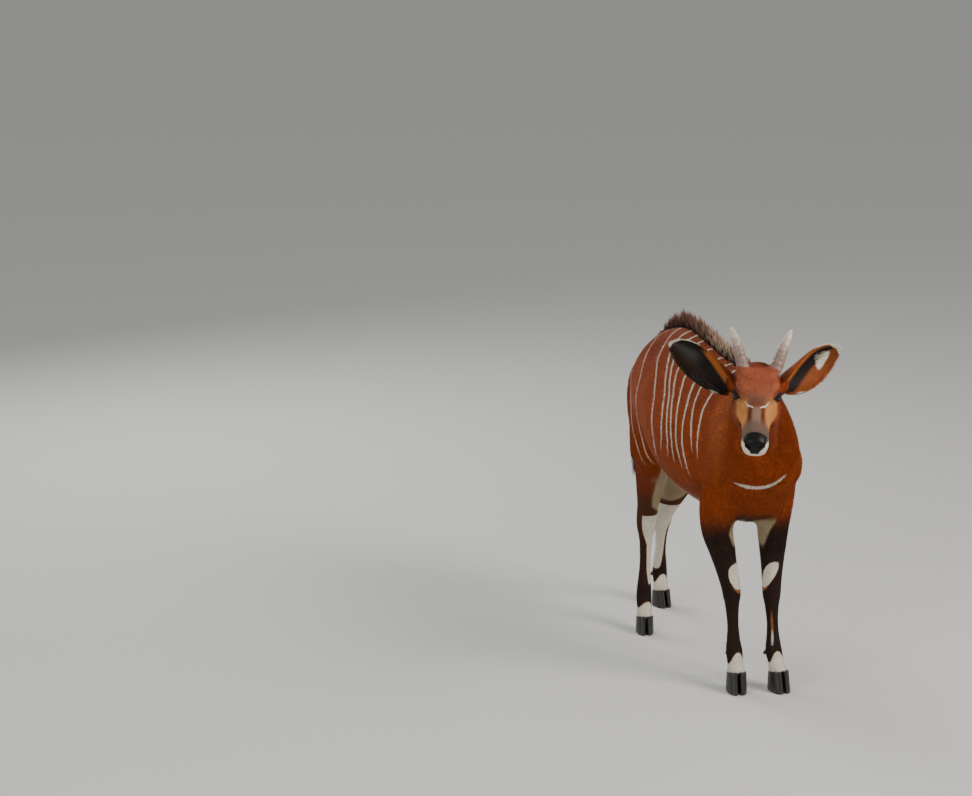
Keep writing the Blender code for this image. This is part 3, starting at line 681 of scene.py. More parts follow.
    def build(self) -> bpy.types.Object:
        """Fuses the masses into one closed soft surface.

        Returns:
            The object.
        """
        joined = bmesh.new()
        for piece in self.pieces():
            joined.from_mesh(piece.data)
            bpy.data.objects.remove(piece, do_unlink=True)
        body = piece_from("skin", joined)
        fuse = body.modifiers.new("fuse", "REMESH")
        fuse.mode = "VOXEL"
        fuse.voxel_size = self.voxel
        settle(body)
        self.soften(body.data)
        return body


@dataclass
class Face:
    """Gives the soft body its eyes, lids, nostrils, mouth and folds, in the head's frame."""

    fine_reach: float = 0.031
    lid_reach: float = 0.0235
    nostril: tuple[float, float] = (0.0185, -0.0165)
    mouth_height: float = -0.0455
    mouth_tip: float = -0.190

    def split_edges(self, body: bpy.types.Object, level: int) -> None:
        """Splits the edges of the face where its level of detail asks for it.

        Args:
            body: Body whose mesh is refined.
            level: 0 for the whole face, 1 round the eyes and muzzle, 2 on lids and lips.
        """
        mesh = bmesh.new()
        mesh.from_mesh(body.data)
        mesh.verts.ensure_lookup_table()
        own = HEAD.inward(get_points(body.data))
        chosen = self.detail(own, level)
        edges = [edge for edge in mesh.edges
                 if chosen[edge.verts[0].index] and chosen[edge.verts[1].index]]
        bmesh.ops.subdivide_edges(mesh, edges=edges, cuts=1, use_grid_fill=True)
        bmesh.ops.triangulate(mesh, faces=[face for face in mesh.faces if len(face.verts) > 4])
        mesh.to_mesh(body.data)
        mesh.free()

    def detail(self, own: np.ndarray, level: int) -> np.ndarray:
        """Which points of the head's frame get a level of detail.

        Args:
            own: Points in the head's frame.
            level: The level of detail.

        Returns:
            A mask of the points.
        """
        if level == 0:
            return (own[:, 1] < 0.050) & (np.linalg.norm(own, axis=1) < 0.27)
        reach = self.fine_reach if level == 1 else self.lid_reach
        chosen = np.zeros(len(own), dtype=bool)
        for side, _ in SIDES:
            centre, out, _, _ = EYES.axes(side)
            offset = own - centre
            chosen |= (np.linalg.norm(offset, axis=1) < reach) & (offset @ out > 0.0)
        head = np.linalg.norm(own, axis=1) < 0.27
        line = np.abs(own[:, 2] - self.mouth_line(own[:, 1]))
        if level == 1:
            muzzle = own[:, 1] < -0.155
            chosen |= head & (muzzle | ((own[:, 1] < -0.08) & (line < 0.009)))
        else:
            pits = np.hypot(np.abs(own[:, 0]) - self.nostril[0], own[:, 2] - self.nostril[1])
            chosen |= head & (own[:, 1] < -0.165) & ((line < 0.005) | (pits < 0.014))
        return chosen

    def mouth_line(self, y: np.ndarray) -> np.ndarray:
        """Height of the mouth line along the head."""
        return self.mouth_height + 0.08 * np.clip(y - self.mouth_tip, 0.0, 1.0)

    def open_eyes(self, points: np.ndarray) -> np.ndarray:
        """Draws the lids over the eyes and opens them.

        Args:
            points: Points, one row each.

        Returns:
            The moved points.
        """
        for side, _ in SIDES:
            centre, out, ahead, up = EYES.axes(side)
            offset = points - centre
            reach = np.linalg.norm(offset, axis=1)
            rays = offset / np.maximum(reach, 1e-9)[:, None]
            facing, along, rise = rays @ out, rays @ ahead, rays @ up
            edge = EYES.opening(along, rise)
            lid = EYES.radius + EYES.lid_depth
            rim = 0.0012 * np.exp(-((edge - 0.08) / 0.07) ** 2)
            crease = 0.0011 * np.exp(-((edge - 0.30 - 0.10 * (rise > 0)) / 0.045) ** 2)
            fold = 0.0007 * np.exp(-((edge - 0.50) / 0.05) ** 2) * (rise < 0)
            cover = 1.0 - smooth_share(edge, 0.10, 0.60)
            cover *= smooth_share(facing, -0.1, 0.35)
            wanted = reach + (lid - reach) * cover
            wanted = wanted + (rim - crease - fold) * smooth_share(facing, 0.1, 0.4)
            inside = smooth_share(-edge, -0.03, 0.07) * (facing > 0.2)
            wanted = wanted + (EYES.radius - 0.004 - wanted) * inside
            near = reach < 0.050
            points[near] = (centre + rays * wanted[:, None])[near]
            corner = centre + ahead * 0.0165 + out * 0.012 - up * 0.003
            duct = np.exp(-(np.linalg.norm(points - corner, axis=1) / 0.0042) ** 2)
            points = points - (out * 0.0016) * duct[:, None]
        return points

    def carve_muzzle(self, points: np.ndarray, normals: np.ndarray) -> np.ndarray:
        """Presses in the nostrils, the mouth line and the groove of the nose.

        Args:
            points: Points, one row each.
            normals: Their normals, one row each.

        Returns:
            The moved points.
        """
        x, y, z = points.T
        sink = np.zeros(len(points))
        for side, _ in SIDES:
            across = side * x - self.nostril[0]
            height = z - self.nostril[1]
            long_way = across * 0.80 + height * 0.60
            short_way = -across * 0.60 + height * 0.80
            short_way = short_way - 9.0 * long_way * long_way
            pit = (long_way / 0.0105) ** 2 + (short_way / 0.0044) ** 2
            sink += 0.0085 * np.exp(-pit) * smooth_share(-y, 0.165, 0.178)
            rim = (long_way / 0.0145) ** 2 + (short_way / 0.0085) ** 2
            wing = np.exp(-((rim - 1.0) / 0.45) ** 2) * smooth_share(-y, 0.160, 0.176)
            sink -= 0.0012 * wing
        line = self.mouth_line(y)
        groove = np.exp(-((z - line) / 0.0019) ** 2)
        sink += 0.0034 * groove * smooth_share(-y, 0.085, 0.110)
        lip = np.exp(-((z - line + 0.0065) / 0.0042) ** 2)
        sink -= 0.0011 * lip * smooth_share(-y, 0.120, 0.160)
        middle = np.exp(-(x / 0.0018) ** 2) * smooth_share(-y, 0.180, 0.192)
        sink += 0.0018 * middle * smooth_share(-z, 0.006, 0.016) * smooth_share(z, -0.047, -0.040)
        return points - normals * sink[:, None]

    def model_bones(self, points: np.ndarray, normals: np.ndarray) -> np.ndarray:
        """Adds the low forms of the face: brow edge, cheek ridge, jaw and nose bridge.

        Args:
            points: Points, one row each.
            normals: Their normals, one row each.

        Returns:
            The moved points.
        """
        x, y, z = np.abs(points[:, 0]), points[:, 1], points[:, 2]
        lift = np.zeros(len(points))
        ridge = np.exp(-((z + 0.018 + 0.10 * (y + 0.05)) / 0.009) ** 2)
        lift += 0.0022 * ridge * smooth_share(-y, 0.035, 0.055) * smooth_share(y, -0.135, -0.100)
        hollow = ((y + 0.075) / 0.030) ** 2 + ((z - 0.006) / 0.012) ** 2
        lift -= 0.0020 * np.exp(-hollow) * (x > 0.02)
        jaw = ((y - 0.015) / 0.045) ** 2 + ((z + 0.070) / 0.022) ** 2
        lift += 0.0016 * np.exp(-jaw)
        return points + normals * lift[:, None]

    def shape(self, body: bpy.types.Object) -> None:
        """Refines the face of a body and shapes its features.

        Args:
            body: The object.
        """
        for level in range(3):
            self.split_edges(body, level)
            own = HEAD.inward(get_points(body.data))
            weight = self.detail(own, level).astype(float)
            relax(body.data, weight, 6 if level == 0 else 3)
        own = HEAD.inward(get_points(body.data))
        turned = HEAD.inward_directions(get_normals(body.data))
        region = (own[:, 1] < 0.06) & (np.linalg.norm(own, axis=1) < 0.30)
        shaped = self.model_bones(own[region], turned[region])
        shaped = self.carve_muzzle(shaped, turned[region])
        own[region] = self.open_eyes(shaped)
        set_points(body.data, HEAD.outward(own))


@dataclass(frozen=True)
class Ear:
    """A leaf-shaped ear, rolled into a tube at its root, with an open cup to the front.

    Rows are share of the length, half width and half angle of the rolled section. The place
    and the directions are in the head's frame.
    """

    side: float
    out: Point
    face: Point
    root: Point
    length: float
    sag: float
    thickness: float = 0.0034
    rows: tuple[Row, ...] = (
        (0.00, 0.0260, 2.25),
        (0.12, 0.0365, 1.97),
        (0.26, 0.0450, 1.64),
        (0.40, 0.0515, 1.34),
        (0.55, 0.0545, 1.08),
        (0.70, 0.0500, 0.90),
        (0.82, 0.0385, 0.75),
        (0.92, 0.0235, 0.60),
        (1.00, 0.0045, 0.40),
    )

    def axes(self) -> tuple[np.ndarray, np.ndarray, np.ndarray, np.ndarray]:
        """Root and the directions out, facing and across.

        Returns:
            Root, outward, facing and across, in the head's frame.
        """
        out = unit(self.out)
        face = np.array(self.face, dtype=float)
        face -= out * np.dot(face, out)
        face = unit(face)
        return np.array(self.root), out, face, np.cross(out, face)

    def line(self, share: object) -> np.ndarray:
        """Places on the ear's bowed and sagging middle line at shares of its length.

        Args:
            share: One share or more, from 0 at the root to 1 at the tip.

        Returns:
            One row for each share, in the head's frame.
        """
        root, out, face, across = self.axes()
        shares = np.atleast_1d(np.asarray(share, dtype=float))[:, None]
        bow = np.sin(math.pi * np.clip(shares, 0.0, 1.0))
        return root + out * self.length * shares + (across * self.sag - face * 0.012) * bow

    def build(self, steps: int = 7, columns: int = 44) -> bpy.types.Object:
        """The ear as a thin closed leaf with rounded rims.

        Args:
            steps: Number of steps from each row to the next.
            columns: Number of strips across.

        Returns:
            The ear.
        """
        _, _, face, across = self.axes()
        mesh = bmesh.new()
        rings = []
        for share, width, angle in curve_through(self.rows, steps):
            radius = width / math.sin(min(angle, math.pi / 2.0))
            line = self.line(share)[0]
            ring = []
            for sheet in (-1.0, 1.0):
                order = range(columns + 1) if sheet < 0.0 else range(columns, -1, -1)
                for number in order:
                    place = 2.0 * number / columns - 1.0
                    turn = angle * place
                    spoke = across * math.sin(turn) - face * math.cos(turn)
                    rim = math.sqrt(max(1.0 - abs(place) ** 8, 0.0))
                    thick = self.thickness * (0.15 + 0.85 * rim) * (0.5 - 0.2 * share)
                    ripple = 0.0007 * math.cos(9.0 * place) * math.sin(math.pi * share)
                    spot = line + face * radius * 0.55 + spoke * (radius + ripple)
                    ring.append(mesh.verts.new(spot + spoke * sheet * thick))
            rings.append(ring)
        join_rings(mesh, rings)
        body = piece_from("ear", mesh)
        body.data.transform(HEAD.matrix())
        return body

    def coordinates(self, own: np.ndarray, turned: np.ndarray) -> dict[str, np.ndarray]:
        """Where points lie on this ear.

        Args:
            own: Points in the head's frame.
            turned: Their normals in the head's frame.

        Returns:
            Share of the length, place across from -1 to 1, whether it is the inner side,
            and whether the point belongs to the ear.
        """
        root, out, face, across = self.axes()
        table = np.array(self.rows)
        share = (own - root) @ out / self.length
        width = np.interp(share, table[:, 0], table[:, 1])
        angle = np.interp(share, table[:, 0], table[:, 2])
        radius = width / np.sin(np.minimum(angle, math.pi / 2.0))
        spoke = own - self.line(share) - face * (radius * 0.55)[:, None]
        turn = np.arctan2(spoke @ across, -(spoke @ face))
        length = np.linalg.norm(spoke, axis=1)
        inner = np.sum(spoke * turned, axis=1) < 0.0
        ours = (share > 0.02) & (share < 1.06) & (np.abs(length - radius) < 0.008)
        ours &= (np.sign(own[:, 0]) == self.side) & (np.abs(turn) < angle + 0.5)
        return {"share": share, "across": turn / angle, "inner": inner, "ours": ours,
                "span": width}


EARS = (
    Ear(-1.0, (-0.850, 0.215, 0.455), (-0.220, -0.965, 0.130), (-0.066, 0.082, -0.034), 0.222,
        -0.009),
    Ear(1.0, (0.815, 0.500, 0.270), (0.440, -0.860, 0.200), (0.066, 0.082, -0.022), 0.205,
        0.014),
)


def blend(low: np.ndarray, high: Row, share: np.ndarray) -> np.ndarray:
    """Rows mixed towards one row by a share for each."""
    return low + (np.array(high, dtype=float) - low) * np.clip(share, 0.0, 1.0)[:, None]


def ripple(points: np.ndarray, length: float, seed: int) -> np.ndarray:
    """A smooth uneven value between about -1 and 1 over places.

    Args:
        points: Places.
        length: Rough length of one wave.
        seed: Number that chooses the waves.

    Returns:
        One value for each place.
    """
    chance = np.random.default_rng(seed)
    total = np.zeros(len(points))
    for _ in range(7):
        wave = unit(chance.normal(size=3)) * (2.0 * math.pi / length) * chance.uniform(0.6, 1.5)
        total += np.sin(points @ wave + chance.uniform(0.0, 6.28))
    return total / 3.2


@dataclass(frozen=True)
class CoatColours:
    """Colours of the coat, as linear red, green and blue."""

    chestnut: Point = (0.300, 0.052, 0.0060)
    # Deep red of the back and rump, also used as painted shade on the right side of the neck
    back_red_and_neck_shade: Point = (0.230, 0.036, 0.0060)
    shoulder: Point = (0.350, 0.080, 0.0120)
    # Dark brown of painted shade, laid under the neck, under the jaw and low on the flanks
    underside_shade: Point = (0.130, 0.028, 0.0080)
    belly: Point = (0.520, 0.400, 0.290)
    # Black of the brisket, deepened as painted shade between the forelegs
    brisket_black_and_shade: Point = (0.022, 0.011, 0.008)
    foreleg: Point = (0.026, 0.012, 0.008)
    hindleg: Point = (0.072, 0.022, 0.010)
    fetlock: Point = (0.022, 0.012, 0.009)
    cream: Point = (0.780, 0.720, 0.600)
    sand: Point = (0.480, 0.370, 0.220)
    rust: Point = (0.330, 0.105, 0.036)
    forehead: Point = (0.370, 0.090, 0.038)
    brow_grey: Point = (0.200, 0.095, 0.062)
    muzzle: Point = (0.150, 0.098, 0.070)
    bridge: Point = (0.300, 0.195, 0.145)
    bridge_edge: Point = (0.055, 0.026, 0.018)
    cheek: Point = (0.620, 0.270, 0.075)
    chin: Point = (0.640, 0.545, 0.410)
    nose: Point = (0.010, 0.009, 0.009)
    ear_back: Point = (0.300, 0.064, 0.0100)
    ear_root: Point = (0.070, 0.022, 0.010)
    ear_lining: Point = (0.400, 0.115, 0.025)
    ear_fringe: Point = (0.260, 0.070, 0.018)
    ear_inside: Point = (0.016, 0.011, 0.010)
    # Painted shade and sheen of the right ear: its darkened fringe colour, and a grey that is both
    # painted sheen and white hair dimmed by shade
    ear_fringe_in_shade: Point = (0.036, 0.018, 0.012)
    ear_sheen_and_shaded_white: Point = (0.095, 0.085, 0.080)
    crest: Point = (0.030, 0.011, 0.008)
    crest_tip: Point = (0.150, 0.052, 0.022)
    crest_blond: Point = (0.640, 0.470, 0.310)
    tail_tuft: Point = (0.018, 0.010, 0.009)


COLOURS = CoatColours()
MARK_NAMES = ("tone", "pattern", "lines", "bare")


@dataclass(frozen=True)
class Stripes:
    """White stripes of the flanks: for each one the place along the body at falling heights."""

    half_width: float = 0.0031
    lines: tuple[tuple[tuple[float, float], ...], ...] = (
        ((0.405, 0.905), (0.379, 0.847), (0.338, 0.757), (0.284, 0.686), (0.215, 0.636),
         (0.178, 0.600)),
        ((0.250, 1.010), (0.220, 0.960), (0.190, 0.870), (0.215, 0.800), (0.245, 0.730),
         (0.200, 0.670), (0.149, 0.600)),
        ((0.165, 1.037), (0.128, 1.000), (0.108, 0.957), (0.062, 0.904), (0.034, 0.847),
         (0.025, 0.780), (0.019, 0.710), (0.034, 0.643)),
        ((0.100, 1.035), (0.060, 0.978), (0.023, 0.936), (-0.023, 0.868), (-0.035, 0.800),
         (-0.039, 0.739), (-0.022, 0.694)),
        ((0.055, 1.033), (0.026, 0.965), (-0.015, 0.912), (-0.044, 0.871), (-0.062, 0.800),
         (-0.074, 0.737), (-0.067, 0.684)),
        ((0.012, 1.020), (-0.022, 0.947), (-0.052, 0.888), (-0.083, 0.800), (-0.096, 0.741),
         (-0.098, 0.677)),
        ((-0.049, 1.004), (-0.073, 0.932), (-0.089, 0.886), (-0.111, 0.800), (-0.122, 0.737),
         (-0.140, 0.668)),
        ((-0.121, 0.994), (-0.129, 0.915), (-0.139, 0.868), (-0.145, 0.800), (-0.153, 0.734),
         (-0.170, 0.646)),
        ((-0.183, 1.001), (-0.163, 0.910), (-0.168, 0.867), (-0.190, 0.793), (-0.204, 0.734)),
        ((-0.235, 0.985), (-0.229, 0.912), (-0.217, 0.858), (-0.222, 0.792), (-0.226, 0.713)),
    )

    def phase(self, points: np.ndarray) -> tuple[np.ndarray, np.ndarray]:
        """Where places lie between the stripes.

        Args:
            points: Places in the maker's frame.

        Returns:
            A number that is whole on each stripe, and the half width of the nearest stripe
            in the same measure, 0 beyond its ends.
        """
        height = points[:, 2]
        sway = np.where(points[:, 0] > 0.0, 1.0, 0.0) * 0.006 * np.sin(points[:, 2] * 21.0)
        along = points[:, 1] + sway + 0.0010 * ripple(points, 0.11, 5)
        columns = []
        for line in self.lines:
            table = np.array(line)[::-1]
            columns.append(np.interp(height, table[:, 1], table[:, 0]))
        places = np.array(columns)
        count = len(places)
        phase = np.zeros(len(points))
        spacing = np.full(len(points), 0.05)
        for index in range(count - 1):
            gap = np.maximum(places[index] - places[index + 1], 0.012)
            inside = (along <= places[index]) & (along > places[index + 1])
            phase[inside] = index + ((places[index] - along) / gap)[inside]
            spacing[inside] = gap[inside]
        behind = along > places[0]
        phase[behind] = -((along - places[0]) / 0.07)[behind]
        spacing[behind] = 0.07
        ahead = along <= places[-1]
        phase[ahead] = count - 1 + ((places[-1] - along) / 0.05)[ahead]
        spacing[ahead] = 0.05
        nearest = np.clip(np.round(phase), 0, count - 1).astype(int)
        low = np.array([line[-1][1] for line in self.lines])[nearest]
        high = np.array([line[0][1] for line in self.lines])[nearest]
        taper = np.sqrt(smooth_share(height, low - 0.012, low + 0.075))
        taper = np.where(height > high + 0.040, 0.0, taper)
        taper = taper * (1.0 + 0.10 * ripple(points, 0.06, 9))
        half = self.half_width * taper / spacing
        half = np.where((phase < -0.4) | (phase > count - 0.6), 0.0, half)
        return phase, half


def superellipse(across: np.ndarray, height: np.ndarray, half_across: float,
                 half_height: float, power: float = 2.6) -> np.ndarray:
    """Signed distance inside a rounded patch, as a share of its half size."""
    reach = np.abs(across / half_across) ** power + np.abs(height / half_height) ** power
    return 1.0 - reach ** (1.0 / power)


def arc_width(degrees: np.ndarray, radius: np.ndarray) -> np.ndarray:
    """Width in centimetres of an angle round a leg."""
    return degrees * np.radians(1.0) * radius * TO_CM


@dataclass
class Places:
    """Where skin points lie in the frames of the body's parts."""

    points: np.ndarray
    normals: np.ndarray

    def __post_init__(self) -> None:
        """Works out the head, ear and leg coordinates."""
        self.own = HEAD.inward(self.points)
        self.turned = HEAD.inward_directions(self.normals)
        self.ears = [ear.coordinates(self.own, self.turned) for ear in EARS]
        self.on_ear = self.ears[0]["ours"] | self.ears[1]["ours"]
        reach = np.linalg.norm(self.own, axis=1)
        self.on_head = (self.own[:, 1] < 0.115) & (reach < 0.30) & ~self.on_ear
        total = len(self.points)
        self.limb = np.full(total, -1)
        self.around = np.zeros(total)
        self.radius = np.full(total, 1.0)
        best = np.full(total, 1.0)
        x, y, z = self.points.T
        for index, limb in enumerate(LIMBS.values()):
            ax, ay = limb.axis(z)
            inner = -limb.side * (x - ax)
            front = -(y - ay)
            away = np.hypot(inner, front)
            limit = 0.092 if limb.front else 0.128
            ours = (away < limit) & (away < best) & (z < 0.60)
            best[ours] = away[ours]
            self.limb[ours] = index
            self.around[ours] = np.degrees(np.arctan2(front, inner))[ours]
            self.radius[ours] = away[ours]
        self.closeness = np.zeros(total)
        for limb in LIMBS.values():
            ax, ay = limb.axis(z)
            near = smooth_share(0.17 - np.hypot(x - ax, y - ay), 0.0, 0.08)
            self.closeness = np.maximum(self.closeness, near)


@dataclass
class Markings:
    """Works out the coat's colours and marks for the points of the skin or the coat."""

    stripes: Stripes

    def body_tone(self, at: Places) -> np.ndarray:
        """Soft colours of the trunk and neck, with painted shade under the neck, low on the flanks,
        on the right side of the neck and, in part, at the brisket.

        Args:
            at: Places of the points.

        Returns:
            One colour for each point.
        """
        x, y, z = at.points.T
        nz = at.normals[:, 2]
        tone = np.tile(np.array(COLOURS.chestnut), (len(x), 1))
        top = np.interp(y, (-0.45, -0.3, 0.0, 0.1, 0.3, 0.45), (0.95, 0.96, 1.02, 1.04, 1.0, 0.88))
        tone = blend(tone, COLOURS.back_red_and_neck_shade, 0.75 * smooth_share(z - top, -0.17, -0.01))
        rump = smooth_share(y, 0.24, 0.42) * smooth_share(z, 0.60, 0.80)
        tone = blend(tone, COLOURS.back_red_and_neck_shade, 0.45 * rump)
        edge = np.hypot(y + 0.300 + 0.22 * (0.905 - z), (z - 0.82) * 0.28)
        tone = blend(tone, COLOURS.shoulder, 0.8 * (1.0 - smooth_share(edge, 0.02, 0.06)))
        under = smooth_share(-nz, 0.50, 0.86) * smooth_share(y, -0.27, -0.17)
        under = under * smooth_share(0.60 - z, 0.0, 0.05) * smooth_share(0.33 - y, 0.0, 0.06)
        tone = blend(tone, COLOURS.belly, 0.9 * under)
        # Painted shade: the lower flank darkened towards the belly
        low_flank_shade = smooth_share(0.66 - z, 0.0, 0.12) * smooth_share(y, -0.25, -0.10)
        tone = blend(tone, COLOURS.underside_shade, 0.35 * low_flank_shade * (1.0 - under))
        groin = smooth_share(0.085 - np.abs(x), 0.0, 0.045) * smooth_share(y, 0.08, 0.15)
        groin = groin * smooth_share(z, 0.40, 0.46) * smooth_share(0.74 - z, 0.0, 0.10)
        groin = groin * smooth_share(0.46 - y, 0.0, 0.06)
        tone = blend(tone, COLOURS.belly, 0.85 * groin)
        # Between the forelegs: partly the coat's own black, partly painted shade
        low = smooth_share(0.585 - z, 0.0, 0.055) * smooth_share(-y, 0.24, 0.30)
        low = low * smooth_share(0.070 - np.abs(x + 0.03), 0.0, 0.045)
        tone = blend(tone, COLOURS.brisket_black_and_shade, 0.96 * low)
        # Painted shade: the upper neck darkened on its right side
        neck = smooth_share(-y, 0.40, 0.47) * smooth_share(z, 0.72, 0.84)
        tone = blend(tone, COLOURS.back_red_and_neck_shade, 0.55 * neck * smooth_share(0.07 - x, 0.0, 0.07))
        # Painted shade: the underside of the neck, where it faces down, is darkened
        dark = smooth_share(-nz, 0.1, 0.8) * smooth_share(-y, 0.40, 0.48)
        return blend(tone, COLOURS.underside_shade, 0.85 * dark)

    def leg_tone(self, at: Places, tone: np.ndarray) -> np.ndarray:
        """Darkens the legs towards the feet, and with painted shade the outer side of the right
        foreleg higher up.

        Args:
            at: Places of the points.
            tone: Colours so far, one row for each point.

        Returns:
            The colours with those of the legs.
        """
        z = at.points[:, 2]
        for index, limb in enumerate(LIMBS.values()):
            ours = at.limb == index
            outer = smooth_share(np.abs(at.around), 110.0, 165.0)
            if limb.front:
                # Painted shade: the right foreleg's outer side goes dark higher up than the left's
                drop = 0.065 * outer if limb.side > 0.0 else 0.02 * outer
                share = smooth_share(0.590 - drop - z, 0.0, 0.10)
                tone[ours] = blend(tone, COLOURS.foreleg, share)[ours]
            else:
                back = smooth_share(-at.around, 20.0, 110.0)
                share = smooth_share(0.545 + 0.03 * back - z, 0.0, 0.12)
                tone[ours] = blend(tone, COLOURS.hindleg, 0.92 * share)[ours]
                shin = smooth_share(0.345 - z, 0.0, 0.08)
                tone[ours] = blend(tone, COLOURS.foreleg, 0.72 * shin)[ours]
            joint = smooth_share(0.175 - z, 0.0, 0.05)
            tone[ours] = blend(tone, COLOURS.fetlock, 0.9 * joint)[ours]
            if limb.front:
                sand = self.forearm_patch(at, limb)
            else:
                sand = self.gaskin_patch(at)
            tone[ours] = blend(tone, COLOURS.sand, 0.9 * smooth_share(sand, -0.3, 0.5))[ours]
        return tone

    def forearm_patch(self, at: Places, limb: Limb) -> np.ndarray:
        """Distance inside the pale patch on the inner side of a forearm, in centimetres.

        Args:
            at: Places of the points.
            limb: The leg.

        Returns:
            One distance for each point, above 0 inside.
        """
        z = at.points[:, 2]
        if limb.side < 0.0:
            limit = np.interp(z, (0.455, 0.463, 0.500, 0.54), (25.0, 60.0, 76.0, 62.0))
        else:
            limit = np.interp(z, (0.445, 0.455, 0.486, 0.533), (10.0, 25.0, 42.0, 70.0))
        side = np.minimum(limit - at.around, at.around + 50.0)
        side = arc_width(side, at.radius)
        side = np.minimum(side, (0.540 - z) * 40.0)
        return np.minimum(np.minimum(side, (z - 0.452) * TO_CM), 2.0)

    def gaskin_patch(self, at: Places) -> np.ndarray:
        """Distance inside the pale inner side of a gaskin, in centimetres.

        Args:
            at: Places of the points.

        Returns:
            One distance for each point, above 0 inside.
        """
        z = at.points[:, 2]
        limit = np.interp(z, (0.405, 0.43, 0.47, 0.60), (50.0, 98.0, 104.0, 92.0))
        side = np.minimum(limit - at.around, at.around + 60.0)
        side = arc_width(side, at.radius)
        return np.minimum(np.minimum(side, (z - 0.412) * TO_CM), 2.0)

    def leg_marks(self, at: Places) -> tuple[np.ndarray, np.ndarray]:
        """White and rusty leg marks as distances inside them, in centimetres.

        Args:
            at: Places of the points.

        Returns:
            Distances inside the white and inside the rust, above 0 inside.
        """
        z = at.points[:, 2]
        white = np.full(len(z), -1.0)
        rust = np.full(len(z), -1.0)
        for index, limb in enumerate(LIMBS.values()):
            ours = at.limb == index
            front = np.clip(np.sin(np.radians(at.around)), 0.0, 1.0) ** 2
            if limb.front:
                middle = 58.0 if limb.side < 0.0 else 40.0
                level = 0.362
                tilt = 0.0 if limb.side < 0.0 else 900.0
                wide = 53.0 if limb.side < 0.0 else 40.0
                lean = at.around - middle - (z - level) * tilt
                knee = superellipse(lean, z - level, wide, 0.042, 2.2) * 2.6
                stain = superellipse(lean + 3.0, z - level + 0.011, wide, 0.043, 2.2) * 2.6
                inner = 24.0 if limb.side < 0.0 else 54.0
                streak = superellipse(at.around - inner, z - 0.165, 26.0, 0.050) * 0.6 - 0.36
                brown = superellipse(at.around - inner, z - 0.205, 32.0, 0.085) * 0.6 - 0.36
                rusty = np.maximum(stain, brown)
                sock = (0.088 + 0.036 * front - z) * TO_CM
                pale = np.maximum(knee, streak)
            else:
                limit = np.interp(z, (0.125, 0.14, 0.20, 0.29, 0.33, 0.36),
                                  (40.0, 65.0, 92.0, 105.0, 141.0, 143.0))
                across = np.minimum(limit - at.around, at.around + 42.0)
                across = arc_width(across, at.radius)
                band = np.minimum(across, (0.393 - z) * 140.0)
                pale = np.minimum(band, (z - (0.155 if limb.side < 0.0 else 0.130)) * TO_CM)
                rusty = np.minimum(pale + 0.14, (z - 0.120) * TO_CM)
                sock = (0.080 + (0.020 if limb.side < 0.0 else 0.028) * front - z) * TO_CM
                if limb.side > 0.0:
                    spot = superellipse(at.around - 15.0, z - 0.135, 30.0, 0.012, 2.0)
                    rusty = np.maximum(rusty, spot)
            white[ours] = np.maximum(pale, sock)[ours]
            rust[ours] = np.maximum(rusty, sock + 0.18)[ours]
        return np.clip(white, -1.0, 1.0), np.clip(rust, -1.0, 1.0)

    def breast_line(self, at: Places) -> tuple[np.ndarray, np.ndarray]:
        """The white crescent of the breast: distance from its middle and its half width.

        Args:
            at: Places of the points.

        Returns:
            The distance and the half width in centimetres.
        """
        x, y, z = at.points.T
        middle = 0.668 + np.where(x < -0.056, 3.0, 4.6) * (x + 0.056) ** 2
        slope = 8.0 * (x + 0.056)
        away = (z - middle) / np.sqrt(1.0 + slope * slope) * TO_CM
        ends = smooth_share(x, -0.128, -0.092) * smooth_share(0.038 - x, 0.0, 0.030)
        half = 0.50 * ends * ((y < -0.36) & (z < 0.78) & ~at.on_head)
        return np.clip(away, -2.0, 2.0), half

    def face_tone(self, at: Places, tone: np.ndarray) -> np.ndarray:
        """Soft colours of the head, with painted shade under the jaw and, in part, beside the nose
        bridge.

        Args:
            at: Places of the points.
            tone: Colours so far, one row for each point.

        Returns:
            The colours with those of the head.
        """
        x, y, z = np.abs(at.own[:, 0]), at.own[:, 1], at.own[:, 2]
        top = smooth_share(z, 0.004, 0.026)
        brow = smooth_share(y, -0.062, -0.035) * smooth_share(0.080 - y, 0.0, 0.025)
        face = blend(tone, COLOURS.forehead, 0.92 * top * brow)
        between = np.exp(-((y + 0.055) / 0.024) ** 2) * top
        face = blend(face, COLOURS.brow_grey, 0.75 * between)
        cheek = np.hypot((y + 0.070) / 0.062, (z + 0.012) / 0.036)
        cheek = (1.0 - smooth_share(cheek, 0.70, 1.30)) * smooth_share(x, 0.018, 0.030)
        face = blend(face, COLOURS.cheek, 0.94 * cheek)
        # Painted shade under the jaw
        jaw = smooth_share(-z, 0.050, 0.085) * smooth_share(-y, -0.10, -0.02)
        face = blend(face, COLOURS.underside_shade, 0.60 * jaw)
        nape = smooth_share(y, 0.060, 0.090) * smooth_share(z, -0.02, 0.02)
        face = blend(face, COLOURS.back_red_and_neck_shade, 0.6 * nape)
        band = smooth_share(-y, 0.070, 0.086) * smooth_share(0.150 + y, 0.0, 0.022)
        light = band * (1.0 - smooth_share(x, 0.008, 0.017)) * smooth_share(z, 0.004, 0.014)
